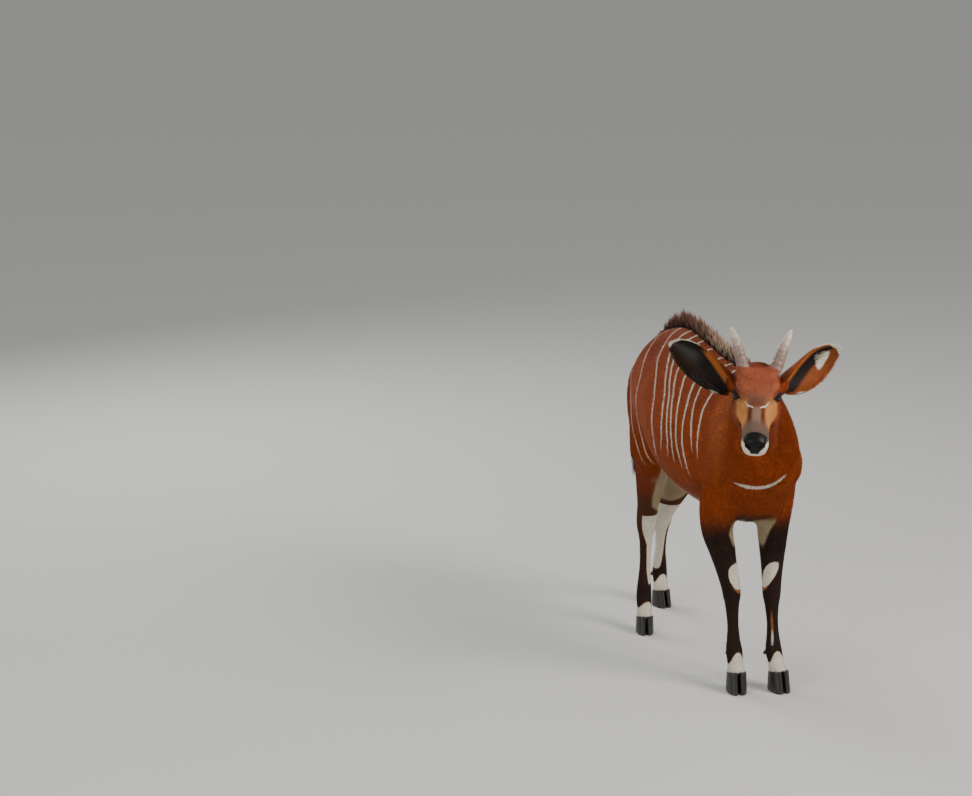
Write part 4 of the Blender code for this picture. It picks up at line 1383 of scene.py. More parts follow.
        # Dark bars beside the nose bridge: partly darker hair, partly painted shade
        dark = band * smooth_share(x, 0.008, 0.016) * (1.0 - smooth_share(x, 0.018, 0.030))
        dark = dark * smooth_share(z, -0.004, 0.010)
        face = blend(face, COLOURS.bridge_edge, 0.62 * dark)
        face = blend(face, COLOURS.bridge, 0.80 * light)
        speck = smooth_share(ripple(at.own, 0.007, 31), 0.25, 0.75) * top * brow
        face = blend(face, COLOURS.bridge, 0.30 * speck)
        snout = smooth_share(-y, 0.112, 0.142)
        face = blend(face, COLOURS.muzzle, 0.94 * snout)
        lip = smooth_share(-y, 0.140, 0.160) * smooth_share(-z, 0.028, 0.040)
        face = blend(face, COLOURS.chin, 0.92 * lip)
        chin = smooth_share(-y, 0.095, 0.130) * smooth_share(-z, 0.042, 0.052)
        face = blend(face, COLOURS.chin, 0.80 * chin)
        for side, _ in SIDES:
            centre, out, _, _ = EYES.axes(side)
            offset = at.own - centre
            ring = np.exp(-((np.linalg.norm(offset, axis=1) - 0.021) / 0.006) ** 2)
            face = blend(face, COLOURS.bridge_edge, 0.55 * ring * (offset @ out > 0.004))
        share = at.on_head.astype(float)
        return tone + (face - tone) * share[:, None]

    def face_marks(self, at: Places) -> tuple[np.ndarray, ...]:
        """White spots, the chevron between the eyes and the black of the nose and lids.

        Args:
            at: Places of the points.

        Returns:
            Distance inside white marks, distance from the chevron's middle, its half width,
            and distance inside the black skin, all in centimetres.
        """
        own = at.own
        x, y, z = np.abs(own[:, 0]), own[:, 1], own[:, 2]
        spot = 0.50 - TO_CM * np.linalg.norm(np.stack((x - 0.060, y - 0.012, z - 0.027)), axis=0)
        lip_width = np.interp(z, (-0.046, -0.030, -0.018, -0.004), (0.033, 0.038, 0.037, 0.030))
        lip = np.minimum((lip_width - x) * TO_CM, (-0.012 - z) * TO_CM)
        lip = np.minimum(lip, (-0.170 - y) * TO_CM)
        white = np.maximum(spot, lip)
        white[~at.on_head] = -1.0
        slope = np.interp(x, (0.0, 0.0092, 0.0257, 0.039), (-0.086, -0.0815, -0.0685, -0.037))
        tilt = np.interp(x, (0.0, 0.0092, 0.0257, 0.039), (0.85, 0.78, 0.55, 0.40))
        away = np.clip((y - slope) * tilt * TO_CM, -2.0, 2.0)
        half = 0.17 * smooth_share(x, 0.007, 0.012) * smooth_share(0.038 - x, 0.0, 0.012)
        half = half * ((z > 0.004) & (y < -0.02) & (y > -0.11) & at.on_head)
        pad = np.interp(z, (-0.043, -0.030, -0.020, -0.006, 0.004, 0.010),
                        (0.010, 0.015, 0.024, 0.0325, 0.0300, 0.0200))
        black = np.minimum((pad - x) * TO_CM, (-0.1690 - y) * TO_CM)
        black = np.minimum(black, (z + 0.0440) * TO_CM)
        pit = 0.75 - TO_CM * np.hypot((x - 0.0195) * 0.8, z + 0.0150)
        black = np.maximum(black, np.minimum(pit, (-0.168 - y) * TO_CM))
        mole = 0.30 - TO_CM * np.linalg.norm(np.stack((x - 0.0452, y + 0.043, z - 0.009)), axis=0)
        black = np.maximum(black, mole)
        for eye_side, _ in SIDES:
            centre, out, ahead, up = EYES.axes(eye_side)
            offset = own - centre
            reach = np.maximum(np.linalg.norm(offset, axis=1), 1e-9)
            rays = offset / reach[:, None]
            edge = EYES.opening(rays @ ahead, rays @ up)
            lid = (0.13 - edge) * EYES.radius * TO_CM
            lid[(rays @ out < 0.15) | (reach > 0.030)] = -1.0
            black = np.maximum(black, lid)
        black[~at.on_head] = -1.0
        return np.clip(white, -1.0, 1.0), away, half, np.clip(black, -1.0, 1.0)

    def ear_tone(self, at: Places, tone: np.ndarray) -> tuple[np.ndarray, np.ndarray]:
        """Colours of the ears, with painted shade and a painted sheen on the right ear, and their
        white marks in centimetres.

        Args:
            at: Places of the points.
            tone: Colours so far, one row for each point.

        Returns:
            The colours, and one distance for each point, above 0 inside.
        """
        white = np.full(len(tone), -1.0)
        for ear, place in zip(EARS, at.ears):
            share, high = place["share"], -ear.side * place["across"]
            outside = blend(np.tile(np.array(COLOURS.ear_back), (len(tone), 1)),
                            COLOURS.ear_root, 0.70 * smooth_share(0.26 - share, 0.0, 0.20))
            outside = blend(outside, COLOURS.ear_root, 0.5 * smooth_share(share, 0.80, 0.95))
            middle = np.interp(share, (0.1, 0.3, 0.5, 0.7, 0.85, 0.95),
                               (-0.50, -0.26, -0.02, 0.20, 0.36, 0.45))
            half = np.interp(share, (0.1, 0.3, 0.5, 0.65, 0.85, 0.95),
                             (0.20, 0.20, 0.26, 0.30, 0.24, 0.12))
            inside = np.tile(np.array(COLOURS.ear_inside), (len(tone), 1))
            upper = smooth_share(high - middle - half, -0.03, 0.12)
            # Painted shade on the right ear: its orange lining stops short of the tip and its lower
            # part is dark brown instead of rust
            if ear.side < 0.0:
                upper = upper * smooth_share(0.62 - share, 0.0, 0.16)
            inside = blend(inside, COLOURS.ear_lining, upper)
            lower = smooth_share(middle - half - high, -0.05, 0.12)
            if ear.side > 0.0:
                inside = blend(inside, COLOURS.ear_fringe, lower)
            else:
                inside = blend(inside, COLOURS.ear_fringe_in_shade, lower)
                # Painted sheen: a grey sheen laid over the middle of the right ear's inner side
                painted_sheen = np.exp(-((high + 0.10) / 0.30) ** 2) * smooth_share(share, 0.45, 0.65)
                inside = blend(inside, COLOURS.ear_sheen_and_shaded_white, 0.7 * painted_sheen)
            mixed = np.where(place["inner"][:, None], inside, outside)
            tone = np.where(place["ours"][:, None], mixed, tone)
            span = place["span"]
            rim = (high - 1.0) * span * TO_CM + 0.16
            rim = np.minimum(rim, (share - 0.66) * 12.0)
            point = (share - 0.955 + 0.07 * np.clip(high, 0.0, 1.0)) * ear.length * TO_CM
            patch = superellipse(high - middle + half + 0.22, share - 0.74, 0.30, 0.15) * 0.8 - 0.16
            patch = np.where(place["inner"] & (ear.side > 0.0), patch, -1.0)
            tuft = superellipse(high + 0.95, share - 0.17, 0.16, 0.055) * 0.6 - 0.2
            tuft = np.where(place["inner"], tuft, -1.0)
            marks = np.maximum(np.maximum(rim, point), np.maximum(patch, tuft))
            white[place["ours"]] = marks[place["ours"]]
        return tone, np.clip(white, -1.0, 1.0)

    def attributes(self, at: Places) -> dict[str, np.ndarray]:
        """All colour attributes for some places.

        Args:
            at: Places of the points.

        Returns:
            Arrays by attribute name.
        """
        tone = self.face_tone(at, self.leg_tone(at, self.body_tone(at)))
        tone, ear_white = self.ear_tone(at, tone)
        phase, half = self.stripes.phase(at.points)
        half[at.on_head | at.on_ear | (at.points[:, 2] < 0.585)] = 0.0
        white, rust = self.leg_marks(at)
        face_white, away, line_half, black = self.face_marks(at)
        breast, breast_half = self.breast_line(at)
        away = np.where(at.on_head, away, breast)
        line_half = np.where(at.on_head, line_half, breast_half)
        white = np.maximum(np.maximum(white, face_white), ear_white)
        cloud = 1.0 + 0.06 * ripple(at.points, 0.16, 2) + 0.04 * ripple(at.points, 0.05, 3)
        tone = tone * cloud[:, None]
        wet = np.clip(black, 0.0, 0.3) / 0.3 * (at.own[:, 1] < -0.12)
        return {
            "tone": np.clip(tone, 0.002, 1.0),
            "pattern": np.stack((phase, half, white), axis=1),
            "lines": np.stack((away, line_half, rust), axis=1),
            "bare": np.stack((black, wet, np.zeros(len(wet))), axis=1),
        }


@dataclass
class CoatLie:
    """Which way the hair lies, and how long, raised and dense it is."""

    def flow(self, at: Places) -> np.ndarray:
        """Direction of the hair along the skin.

        Args:
            at: Places of the points.

        Returns:
            One direction of length 1 for each point.
        """
        x, y, z = at.points.T
        _, ny, nz = at.normals.T
        total = len(x)
        flow = np.tile(unit((0.0, 1.0, -0.30)), (total, 1))
        belly = smooth_share(-nz, 0.45, 0.8)
        flow = blend(flow, (0.0, 1.0, 0.0), belly)
        rump = smooth_share(y, 0.30, 0.43)
        flow = blend(flow, unit((0.0, 0.25, -1.0)), rump)
        neck = smooth_share(-y, 0.30, 0.42)
        flow = blend(flow, unit((0.15, 0.42, -0.50)), neck)
        breast = smooth_share(-ny, 0.35, 0.8) * smooth_share(0.93 - z, 0.0, 0.12)
        flow = blend(flow, (0.0, 0.10, -1.0), breast)
        for limb in LIMBS.values():
            ax, ay = limb.axis(z)
            lower_x, lower_y = limb.axis(z - 0.01)
            down = np.stack((lower_x - ax, lower_y - ay, np.full(total, -0.01)), axis=1)
            down = unit_rows(down + np.array((0.0, 0.0012, 0.0)))
            near = smooth_share(0.17 - np.hypot(x - ax, y - ay), 0.0, 0.07)
            near = near * smooth_share(0.80 - z, 0.0, 0.24)
            flow = flow + (down - flow) * near[:, None]
        own = at.own
        face = np.tile(unit((0.0, 1.0, 0.12)), (total, 1))
        low = smooth_share(-own[:, 2], 0.0, 0.05)
        face = blend(face, unit((0.0, 1.0, -0.38)), low)
        spread = np.sign(own[:, 0]) * 0.25 * smooth_share(own[:, 1], -0.10, 0.02)
        face[:, 0] += spread * smooth_share(own[:, 2], -0.01, 0.03)
        for side, _ in SIDES:
            centre, out, _, _ = EYES.axes(side)
            offset = own - centre
            reach = np.maximum(np.linalg.norm(offset, axis=1), 1e-6)
            away = unit_rows(offset - (offset @ out)[:, None] * out)
            face += away * (0.55 * np.exp(-((reach - 0.020) / 0.014) ** 2))[:, None]
        head_share = smooth_share(0.165 - own[:, 1], 0.0, 0.06)
        head_share = head_share * (np.linalg.norm(own, axis=1) < 0.32)
        turned = HEAD.outward_directions(unit_rows(face))
        flow = flow + (turned - flow) * head_share[:, None]
        for ear, place in zip(EARS, at.ears):
            _, out, _, across = ear.axes()
            away = out + across * (0.45 * np.clip(place["across"], -1.0, 1.0))[:, None]
            turned = HEAD.outward_directions(unit_rows(away))
            flow = np.where(place["ours"][:, None], turned, flow)
        tail = (y > 0.462) & (np.abs(x) < 0.035)
        flow[tail] = (0.0, 0.04, -1.0)
        sway = 0.14 * ripple(at.points, 0.12, 11)
        flow = flow + np.cross(at.normals, flow) * sway[:, None]
        flow = flow - at.normals * np.sum(flow * at.normals, axis=1)[:, None]
        return unit_rows(flow)

    def length(self, at: Places) -> np.ndarray:
        """Length of the hair in metres.

        Args:
            at: Places of the points.

        Returns:
            One length for each point.
        """
        z = at.points[:, 2]
        own = at.own
        length = np.full(len(z), 0.0135)
        length = length - 0.0060 * smooth_share(0.56 - z, 0.0, 0.18)
        length = length + 0.0015 * smooth_share(0.075 - z, 0.0, 0.015)
        face = 0.0058 - 0.0024 * smooth_share(-own[:, 1], 0.10, 0.17)
        face = face + 0.0040 * smooth_share(own[:, 1], 0.03, 0.10)
        for side, _ in SIDES:
            centre = EYES.axes(side)[0]
            reach = np.linalg.norm(own - centre, axis=1)
            face = face - 0.0028 * (1.0 - smooth_share(reach, 0.024, 0.040))
        head_share = smooth_share(0.150 - own[:, 1], 0.0, 0.07)
        head_share = head_share * (np.linalg.norm(own, axis=1) < 0.32)
        length = length + (face - length) * head_share
        inner = (at.ears[0]["inner"] & at.ears[0]["ours"])
        inner = inner | (at.ears[1]["inner"] & at.ears[1]["ours"])
        length[at.on_ear] = 0.0068
        length[inner] = 0.0060
        return length

    def lift(self, at: Places) -> np.ndarray:
        """How far the hair stands off the skin, as a slope.

        Args:
            at: Places of the points.

        Returns:
            One slope for each point.
        """
        z = at.points[:, 2]
        lift = np.full(len(z), 0.17)
        lift = lift + 0.05 * smooth_share(0.56 - z, 0.0, 0.2)
        lift[at.on_head] = 0.24
        lift[at.on_ear] = 0.20
        return lift

    def cover(self, at: Places, black: np.ndarray) -> np.ndarray:
        """Share of the full number of tufts.

        Args:
            at: Places of the points.
            black: Distance inside the black skin for each point.

        Returns:
            One share for each point.
        """
        cover = np.where(black > -0.04, 0.0, 1.0)
        for place in at.ears:
            inside = place["ours"] & place["inner"]
            cover[inside] = 0.55
        feet = (at.points[:, 2] < 0.070) & (at.normals[:, 2] < -0.6)
        cover[feet] = 0.0
        return cover


class Area(Enum):
    """Areas of the coat, each one grown as a piece of its own."""

    FACE = "face"
    NECK = "neck"
    FLANK_RIGHT_FRONT = "flank_right_front"
    FLANK_RIGHT_REAR = "flank_right_rear"
    FLANK_LEFT_FRONT = "flank_left_front"
    FLANK_LEFT_REAR = "flank_left_rear"
    FORELEGS = "forelegs"
    HINDLEGS = "hindlegs"
    EARS = "ears"
    TAIL = "tail"


@dataclass(frozen=True)
class Growth:
    """How one area of the coat is grown."""

    area: Area
    tufts: int
    width: float
    thickness: float
    slot: str
    nodes: tuple[str, ...]


GROWTHS = (
    Growth(Area.FACE, 42000, 0.00085, 0.00030, "coat", ("head",)),
    Growth(Area.NECK, 32000, 0.00150, 0.00045, "coat", ("neck",)),
    Growth(Area.FLANK_RIGHT_FRONT, 44000, 0.00170, 0.00050, "coat", ("torso",)),
    Growth(Area.FLANK_RIGHT_REAR, 44000, 0.00170, 0.00050, "coat", ("torso",)),
    Growth(Area.FLANK_LEFT_FRONT, 38000, 0.00180, 0.00050, "coat", ("torso",)),
    Growth(Area.FLANK_LEFT_REAR, 38000, 0.00180, 0.00050, "coat", ("torso",)),
    Growth(Area.FORELEGS, 44000, 0.00105, 0.00035, "leg_coat",
           ("leg_front_right", "leg_front_left")),
    Growth(Area.HINDLEGS, 47000, 0.00125, 0.00038, "leg_coat",
           ("leg_hind_right", "leg_hind_left")),
    Growth(Area.EARS, 17000, 0.00090, 0.00028, "ear_coat", ("ear_right", "ear_left")),
    Growth(Area.TAIL, 3500, 0.00110, 0.00035, "coat", ("tail",)),
)


def area_masks(at: Places) -> dict[Area, np.ndarray]:
    """Which points belong to each area of the coat.

    Args:
        at: Places of the points.

    Returns:
        A mask of the points by area.
    """
    x, y, z = at.points.T
    tail = (y > 0.466) & (np.abs(x) < 0.036) & (z < 0.90)
    front = (at.limb == 0) | (at.limb == 1)
    hind = (at.limb == 2) | (at.limb == 3)
    base = (at.points - np.array((-0.01, -0.375, 0.85))) @ unit((-0.10, -0.90, 0.42))
    legs = (front | hind) & (z < 0.555)
    neck = (base > 0.0) & ~at.on_head & ~at.on_ear & ~legs
    trunk = ~(tail | legs | neck | at.on_head | at.on_ear)
    rear = y > 0.06
    return {
        Area.FACE: at.on_head,
        Area.NECK: neck,
        Area.FLANK_RIGHT_FRONT: trunk & (x < 0.0) & ~rear,
        Area.FLANK_RIGHT_REAR: trunk & (x < 0.0) & rear,
        Area.FLANK_LEFT_FRONT: trunk & (x >= 0.0) & ~rear,
        Area.FLANK_LEFT_REAR: trunk & (x >= 0.0) & rear,
        Area.FORELEGS: front & legs,
        Area.HINDLEGS: hind & legs,
        Area.EARS: at.on_ear,
        Area.TAIL: tail,
    }


def unroll(at: Places, area: Area) -> tuple[np.ndarray, np.ndarray, np.ndarray, int]:
    """Unrolls the skin of an area onto a rectangle.

    Args:
        at: Places of the points.
        area: Area of the coat.

    Returns:
        Turn around the part from 0 to 1, place along it, number of the column that the
        point goes to, and how many columns there are.
    """
    x, y, z = at.points.T
    column = np.zeros(len(x))
    if area is Area.FACE:
        turn = np.arctan2(at.own[:, 0], at.own[:, 2] + 0.02)
        return (turn / (2.0 * math.pi)) % 1.0, at.own[:, 1], column, 1
    if area is Area.EARS:
        left = at.ears[1]["ours"]
        across = np.where(left, at.ears[1]["across"], at.ears[0]["across"])
        inner = np.where(left, at.ears[1]["inner"], at.ears[0]["inner"])
        share = np.where(left, at.ears[1]["share"], at.ears[0]["share"])
        turn = np.where(inner, 0.25 + 0.22 * across, 0.75 - 0.22 * across)
        return turn % 1.0, share, left.astype(float), 2
    if area in (Area.FORELEGS, Area.HINDLEGS):
        left = (at.limb == 1) | (at.limb == 3)
        return ((at.around + 90.0) / 360.0) % 1.0, z, left.astype(float), 2
    if area is Area.NECK:
        middle = np.interp(y, (-0.6, -0.4, -0.3), (-0.14, -0.04, 0.0))
        level = np.interp(y, (-0.6, -0.4, -0.3), (1.02, 0.86, 0.80))
        turn = np.arctan2(x - middle, z - level)
        return (turn / (2.0 * math.pi)) % 1.0, y * 0.6 + z * 0.4, column, 1
    if area is Area.TAIL:
        return (np.arctan2(x, y - 0.495) / (2.0 * math.pi)) % 1.0, z, column, 1
    turn = np.abs(np.arctan2(x, z - 0.76)) / math.pi
    return turn * 0.98, y, column, 1


class Graph:
    """Adds and joins the nodes of one node tree."""

    def __init__(self, tree: bpy.types.NodeTree) -> None:
        """Keeps the tree."""
        self.tree = tree

    def add(self, kind: str, settings: Optional[dict] = None) -> bpy.types.Node:
        """A new node with some of its settings.

        Args:
            kind: Type of the node.
            settings: Its settings by name.

        Returns:
            The node.
        """
        node = self.tree.nodes.new(kind)
        for name, value in (settings or {}).items():
            setattr(node, name, value)
        return node

    def feed(self, socket: bpy.types.NodeSocket, value: object) -> None:
        """Joins a socket to another one, or sets its value.

        Args:
            socket: The socket to feed.
            value: A socket or a value.
        """
        if isinstance(value, bpy.types.NodeSocket):
            self.tree.links.new(value, socket)
        else:
            socket.default_value = value

    def math(self, operation: str, *values: object) -> bpy.types.NodeSocket:
        """Result of arithmetic on numbers.

        Args:
            operation: The operation.
            *values: Numbers or sockets.

        Returns:
            The result.
        """
        node = self.add("ShaderNodeMath", {"operation": operation})
        for socket, value in zip(node.inputs, values):
            self.feed(socket, value)
        return node.outputs[0]

    def vector(self, operation: str, *values: object) -> bpy.types.NodeSocket:
        """Result of arithmetic on vectors.

        Args:
            operation: The operation.
            *values: Vectors or sockets.

        Returns:
            The result.
        """
        node = self.add("ShaderNodeVectorMath", {"operation": operation})
        for socket, value in zip(node.inputs, values):
            self.feed(socket, value)
        return node.outputs[0]

    def scaled(self, vector: object, factor: object) -> bpy.types.NodeSocket:
        """A vector times a number.

        Args:
            vector: A vector or socket.
            factor: A number or socket.

        Returns:
            The result.
        """
        node = self.add("ShaderNodeVectorMath", {"operation": "SCALE"})
        self.feed(node.inputs[0], vector)
        self.feed(node.inputs["Scale"], factor)
        return node.outputs[0]

    def combine(self, x: object, y: object, z: object) -> bpy.types.NodeSocket:
        """A vector from three numbers.

        Args:
            x: First number or socket.
            y: Second number or socket.
            z: Third number or socket.

        Returns:
            The vector.
        """
        node = self.add("ShaderNodeCombineXYZ")
        for socket, value in zip(node.inputs, (x, y, z)):
            self.feed(socket, value)
        return node.outputs[0]


class Finish(Graph):
    """Builds the nodes of one material."""

    def __init__(self, name: str) -> None:
        """Makes the material with its shader.

        Args:
            name: Name of the material.
        """
        self.material = bpy.data.materials.new(name)
        self.material.use_nodes = True
        super().__init__(self.material.node_tree)
        self.shader = self.tree.nodes["Principled BSDF"]

    def set(self, values: dict[str, object]) -> None:
        """Sets or joins sockets of the shader by name."""
        for name, value in values.items():
            self.feed(self.shader.inputs[name], value)

    def attribute(self, name: str) -> bpy.types.NodeSocket:
        """Vector attribute of the piece."""
        node = self.add("ShaderNodeAttribute", {"attribute_name": name})
        return node.outputs["Vector"]

    def number(self, name: str) -> bpy.types.NodeSocket:
        """Number attribute of the piece."""
        node = self.add("ShaderNodeAttribute", {"attribute_name": name})
        return node.outputs["Fac"]

    def split(self, vector: bpy.types.NodeSocket) -> tuple[bpy.types.NodeSocket, ...]:
        """The three numbers of a vector.

        Args:
            vector: The vector's socket.

        Returns:
            The three sockets.
        """
        node = self.add("ShaderNodeSeparateXYZ")
        self.feed(node.inputs[0], vector)
        return tuple(node.outputs)

    def noise(self, scale: float, detail: float = 2.0) -> bpy.types.NodeSocket:
        """Noise over the piece, from 0 to 1.

        Args:
            scale: Bumps for each metre.
            detail: How much finer detail it has.

        Returns:
            The noise's socket.
        """
        place = self.add("ShaderNodeTexCoord")
        node = self.add("ShaderNodeTexNoise")
        self.feed(node.inputs["Vector"], place.outputs["Object"])
        self.feed(node.inputs["Scale"], scale)
        self.feed(node.inputs["Detail"], detail)
        return node.outputs["Fac"]

    def ramp(self, value: object, low: float, high: float, start: float = 0.0,
             end: float = 1.0) -> bpy.types.NodeSocket:
        """A smooth step of a value, between two results.

        Args:
            value: The value's socket.
            low: Value at which the step starts.
            high: Value at which the step ends.
            start: Result at the start.
            end: Result at the end.

        Returns:
            The result.
        """
        node = self.add("ShaderNodeMapRange", {"interpolation_type": "SMOOTHSTEP"})
        for name, number in (("Value", value), ("From Min", low), ("From Max", high),
                             ("To Min", start), ("To Max", end)):
            self.feed(node.inputs[name], number)
        return node.outputs["Result"]

    def clamp(self, value: object) -> bpy.types.NodeSocket:
        """A value kept between 0 and 1.

        Args:
            value: The value's socket.

        Returns:
            The result.
        """
        node = self.add("ShaderNodeClamp")
        self.feed(node.inputs["Value"], value)
        return node.outputs[0]

    def mix(self, share: object, low: object, high: object) -> bpy.types.NodeSocket:
        """A colour between two others.

        Args:
            share: Share of the second colour.
            low: First colour.
            high: Second colour.

        Returns:
            The mixed colour.
        """
        node = self.add("ShaderNodeMix", {"data_type": "RGBA"})
        self.feed(node.inputs[0], share)
        for socket, value in ((node.inputs[6], low), (node.inputs[7], high)):
            colour = value if isinstance(value, bpy.types.NodeSocket) else (*value, 1.0)
            self.feed(socket, colour)
        return node.outputs[2]

    def bump(self, height: object, strength: float, distance: float) -> None:
        """Raises the shader's surface by a height.

        Args:
            height: The height's socket.
            strength: Strength, from 0 to 1.
            distance: Height of the relief in metres.
        """
        node = self.add("ShaderNodeBump")
        self.feed(node.inputs["Strength"], strength)
        self.feed(node.inputs["Distance"], distance)
        self.feed(node.inputs["Height"], height)
        self.feed(self.shader.inputs["Normal"], node.outputs[0])


@dataclass(frozen=True)
class CoatFinish:
    """Short hair with its markings, read from the attributes of the piece."""

    name: str
    hair: bool
    roughness: float = 0.62
    ragged: float = 0.55

    def marked_colour(self, work: Finish) -> bpy.types.NodeSocket:
        """The coat's colour with stripes, lines, patches and bare black skin.

        Args:
            work: Material that is being built.

        Returns:
            Socket with the colour.
        """
        tone = work.attribute("tone")
        phase, half, white = work.split(work.attribute("pattern"))
        away, line_half, rust = work.split(work.attribute("lines"))
        black, _, _ = work.split(work.attribute("bare"))
        edge = work.math("SUBTRACT", work.noise(240.0, 3.0), 0.5)
        blotch = work.ramp(work.noise(24.0, 3.0), 0.25, 0.75, 0.90, 1.10)
        fleck = work.ramp(work.noise(620.0, 2.0), 0.25, 0.75, 0.74, 1.22)
        tone = work.scaled(tone, work.math("MULTIPLY", blotch, fleck))
        turn = work.math("FRACT", work.math("ADD", phase, 0.5))
        from_line = work.math("ABSOLUTE", work.math("SUBTRACT", turn, 0.5))
        inside = work.math("SUBTRACT", half, from_line)
        jitter = work.math("MULTIPLY", edge, 0.018)
        stripe = work.math("MULTIPLY_ADD", work.math("ADD", inside, jitter), 42.0, 0.5)
        stripe = work.math("MULTIPLY", work.clamp(stripe), work.ramp(half, 0.006, 0.02))
        line = work.math("SUBTRACT", line_half, work.math("ABSOLUTE", away))
        line = work.math("ADD", line, work.math("MULTIPLY", edge, 0.30 * self.ragged))
        line = work.clamp(work.math("MULTIPLY_ADD", line, 9.0, 0.5))
        line = work.math("MULTIPLY", line, work.ramp(line_half, 0.02, 0.10))
        shaken = work.math("MULTIPLY", edge, self.ragged)
        patch = work.math("MULTIPLY_ADD", work.math("ADD", white, shaken), 6.0, 0.5)
        pale = work.math("MAXIMUM", work.clamp(patch), work.math("MAXIMUM", stripe, line))
        stain = work.math("MULTIPLY_ADD", work.math("ADD", rust, shaken), 5.0, 0.5)
        colour = work.mix(work.math("MULTIPLY", work.clamp(stain), 0.92), tone, COLOURS.rust)
        cream = work.mix(work.ramp(work.noise(90.0), 0.3, 0.7, 0.0, 0.35),
                         COLOURS.cream, COLOURS.chin)
        colour = work.mix(pale, colour, cream)
        bare = work.clamp(work.math("MULTIPLY_ADD", black, 14.0, 0.5))
        return work.mix(bare, colour, COLOURS.nose)

    def build(self) -> bpy.types.Material:
        """Makes the material.

        Returns:
            The material.
        """
        work = Finish(self.name)
        colour = self.marked_colour(work)
        _, wet, _ = work.split(work.attribute("bare"))
        if self.hair:
            shade = work.ramp(work.number("shade"), 0.0, 1.0, 0.70, 1.28)
            rise = work.ramp(work.number("rise"), 0.0, 0.9, 0.80, 1.12)
            colour = work.scaled(colour, work.math("MULTIPLY", shade, rise))
            work.set({"Roughness": self.roughness})
        else:
            colour = work.scaled(colour, work.ramp(wet, 0.0, 1.0, 0.86, 1.0))
            work.set({"Roughness": work.ramp(wet, 0.0, 1.0, self.roughness, 0.27)})
            grain = work.math("ADD", work.noise(520.0, 3.0), work.noise(1500.0, 1.0))
            work.bump(grain, 0.35, 0.0006)
        work.set({"Base Color": colour, "Specular IOR Level": 0.12})
        return work.material


@dataclass(frozen=True)
class LockFinish:
    """Long hair that changes colour from its root to its tip."""

    name: str
    roughness: float = 0.50

    def build(self) -> bpy.types.Material:
        """Makes the material.

        Returns:
            The material.
        """
        work = Finish(self.name)
        rise = work.ramp(work.number("rise"), 0.25, 0.95)
        colour = work.mix(rise, work.attribute("tone"), work.attribute("tip"))
        shade = work.ramp(work.number("shade"), 0.0, 1.0, 0.65, 1.35)
        streak = work.ramp(work.noise(900.0, 2.0), 0.3, 0.7, 0.85, 1.15)
        colour = work.scaled(colour, work.math("MULTIPLY", shade, streak))
        work.set({"Base Color": colour, "Roughness": self.roughness,
                  "Specular IOR Level": 0.40})
        return work.material


@dataclass(frozen=True)
class HornFinish:
    """Young horn: pinkish grey at the root, paler at the tip, with fine rings."""

    root: Point = (0.270, 0.170, 0.135)
    tip: Point = (0.620, 0.520, 0.430)
    dirt: Point = (0.085, 0.048, 0.036)

    def build(self) -> bpy.types.Material:
        """Makes the material.

        Returns:
            The material.
        """
        work = Finish("horn_young")
        share = work.number("share")
        colour = work.mix(work.ramp(share, 0.25, 1.0), self.root, self.tip)
        rings = work.add("ShaderNodeTexNoise")
        place = work.combine(0.0, 0.0, work.math("MULTIPLY", share, 1.0))
        work.feed(rings.inputs["Vector"], place)
        work.feed(rings.inputs["Scale"], 34.0)
        work.feed(rings.inputs["Detail"], 3.0)
        ring = work.ramp(rings.outputs["Fac"], 0.42, 0.60)
        low = work.ramp(share, 0.75, 0.15)
        colour = work.mix(work.math("MULTIPLY", work.math("MULTIPLY", ring, low), 0.55),
                          colour, self.dirt)
        smear = work.ramp(work.noise(70.0, 4.0), 0.35, 0.70, 0.80, 1.12)
        colour = work.scaled(colour, smear)
        grain = work.math("ADD", rings.outputs["Fac"], work.noise(380.0, 3.0))
        work.bump(grain, 0.45, 0.0012)
        work.set({"Base Color": colour, "Roughness": 0.42, "Specular IOR Level": 0.45})
        return work.material


@dataclass(frozen=True)
class ClawFinish:
    """Black claw horn with faint growth rings and dust near the ground."""

    base: Point = (0.014, 0.012, 0.011)
    worn: Point = (0.060, 0.050, 0.042)

    def build(self) -> bpy.types.Material:
        """Makes the material.

        Returns:
            The material.
        """
        work = Finish("claw_black")
        _, _, height = work.split(work.add("ShaderNodeTexCoord").outputs["Object"])
        waves = work.math("SINE", work.math("MULTIPLY", height, 1500.0))
        smear = work.noise(130.0, 4.0)
        wear = work.math("MULTIPLY", work.ramp(height, 0.016, 0.0), work.ramp(smear, 0.3, 0.7))
        colour = work.mix(work.math("MULTIPLY", wear, 0.8), self.base, self.worn)
        work.bump(work.math("ADD", work.math("MULTIPLY", waves, 0.25), smear), 0.30, 0.0008)
        work.set({"Base Color": colour, "Specular IOR Level": 0.5,
                  "Roughness": work.ramp(smear, 0.3, 0.7, 0.26, 0.44)})
        return work.material


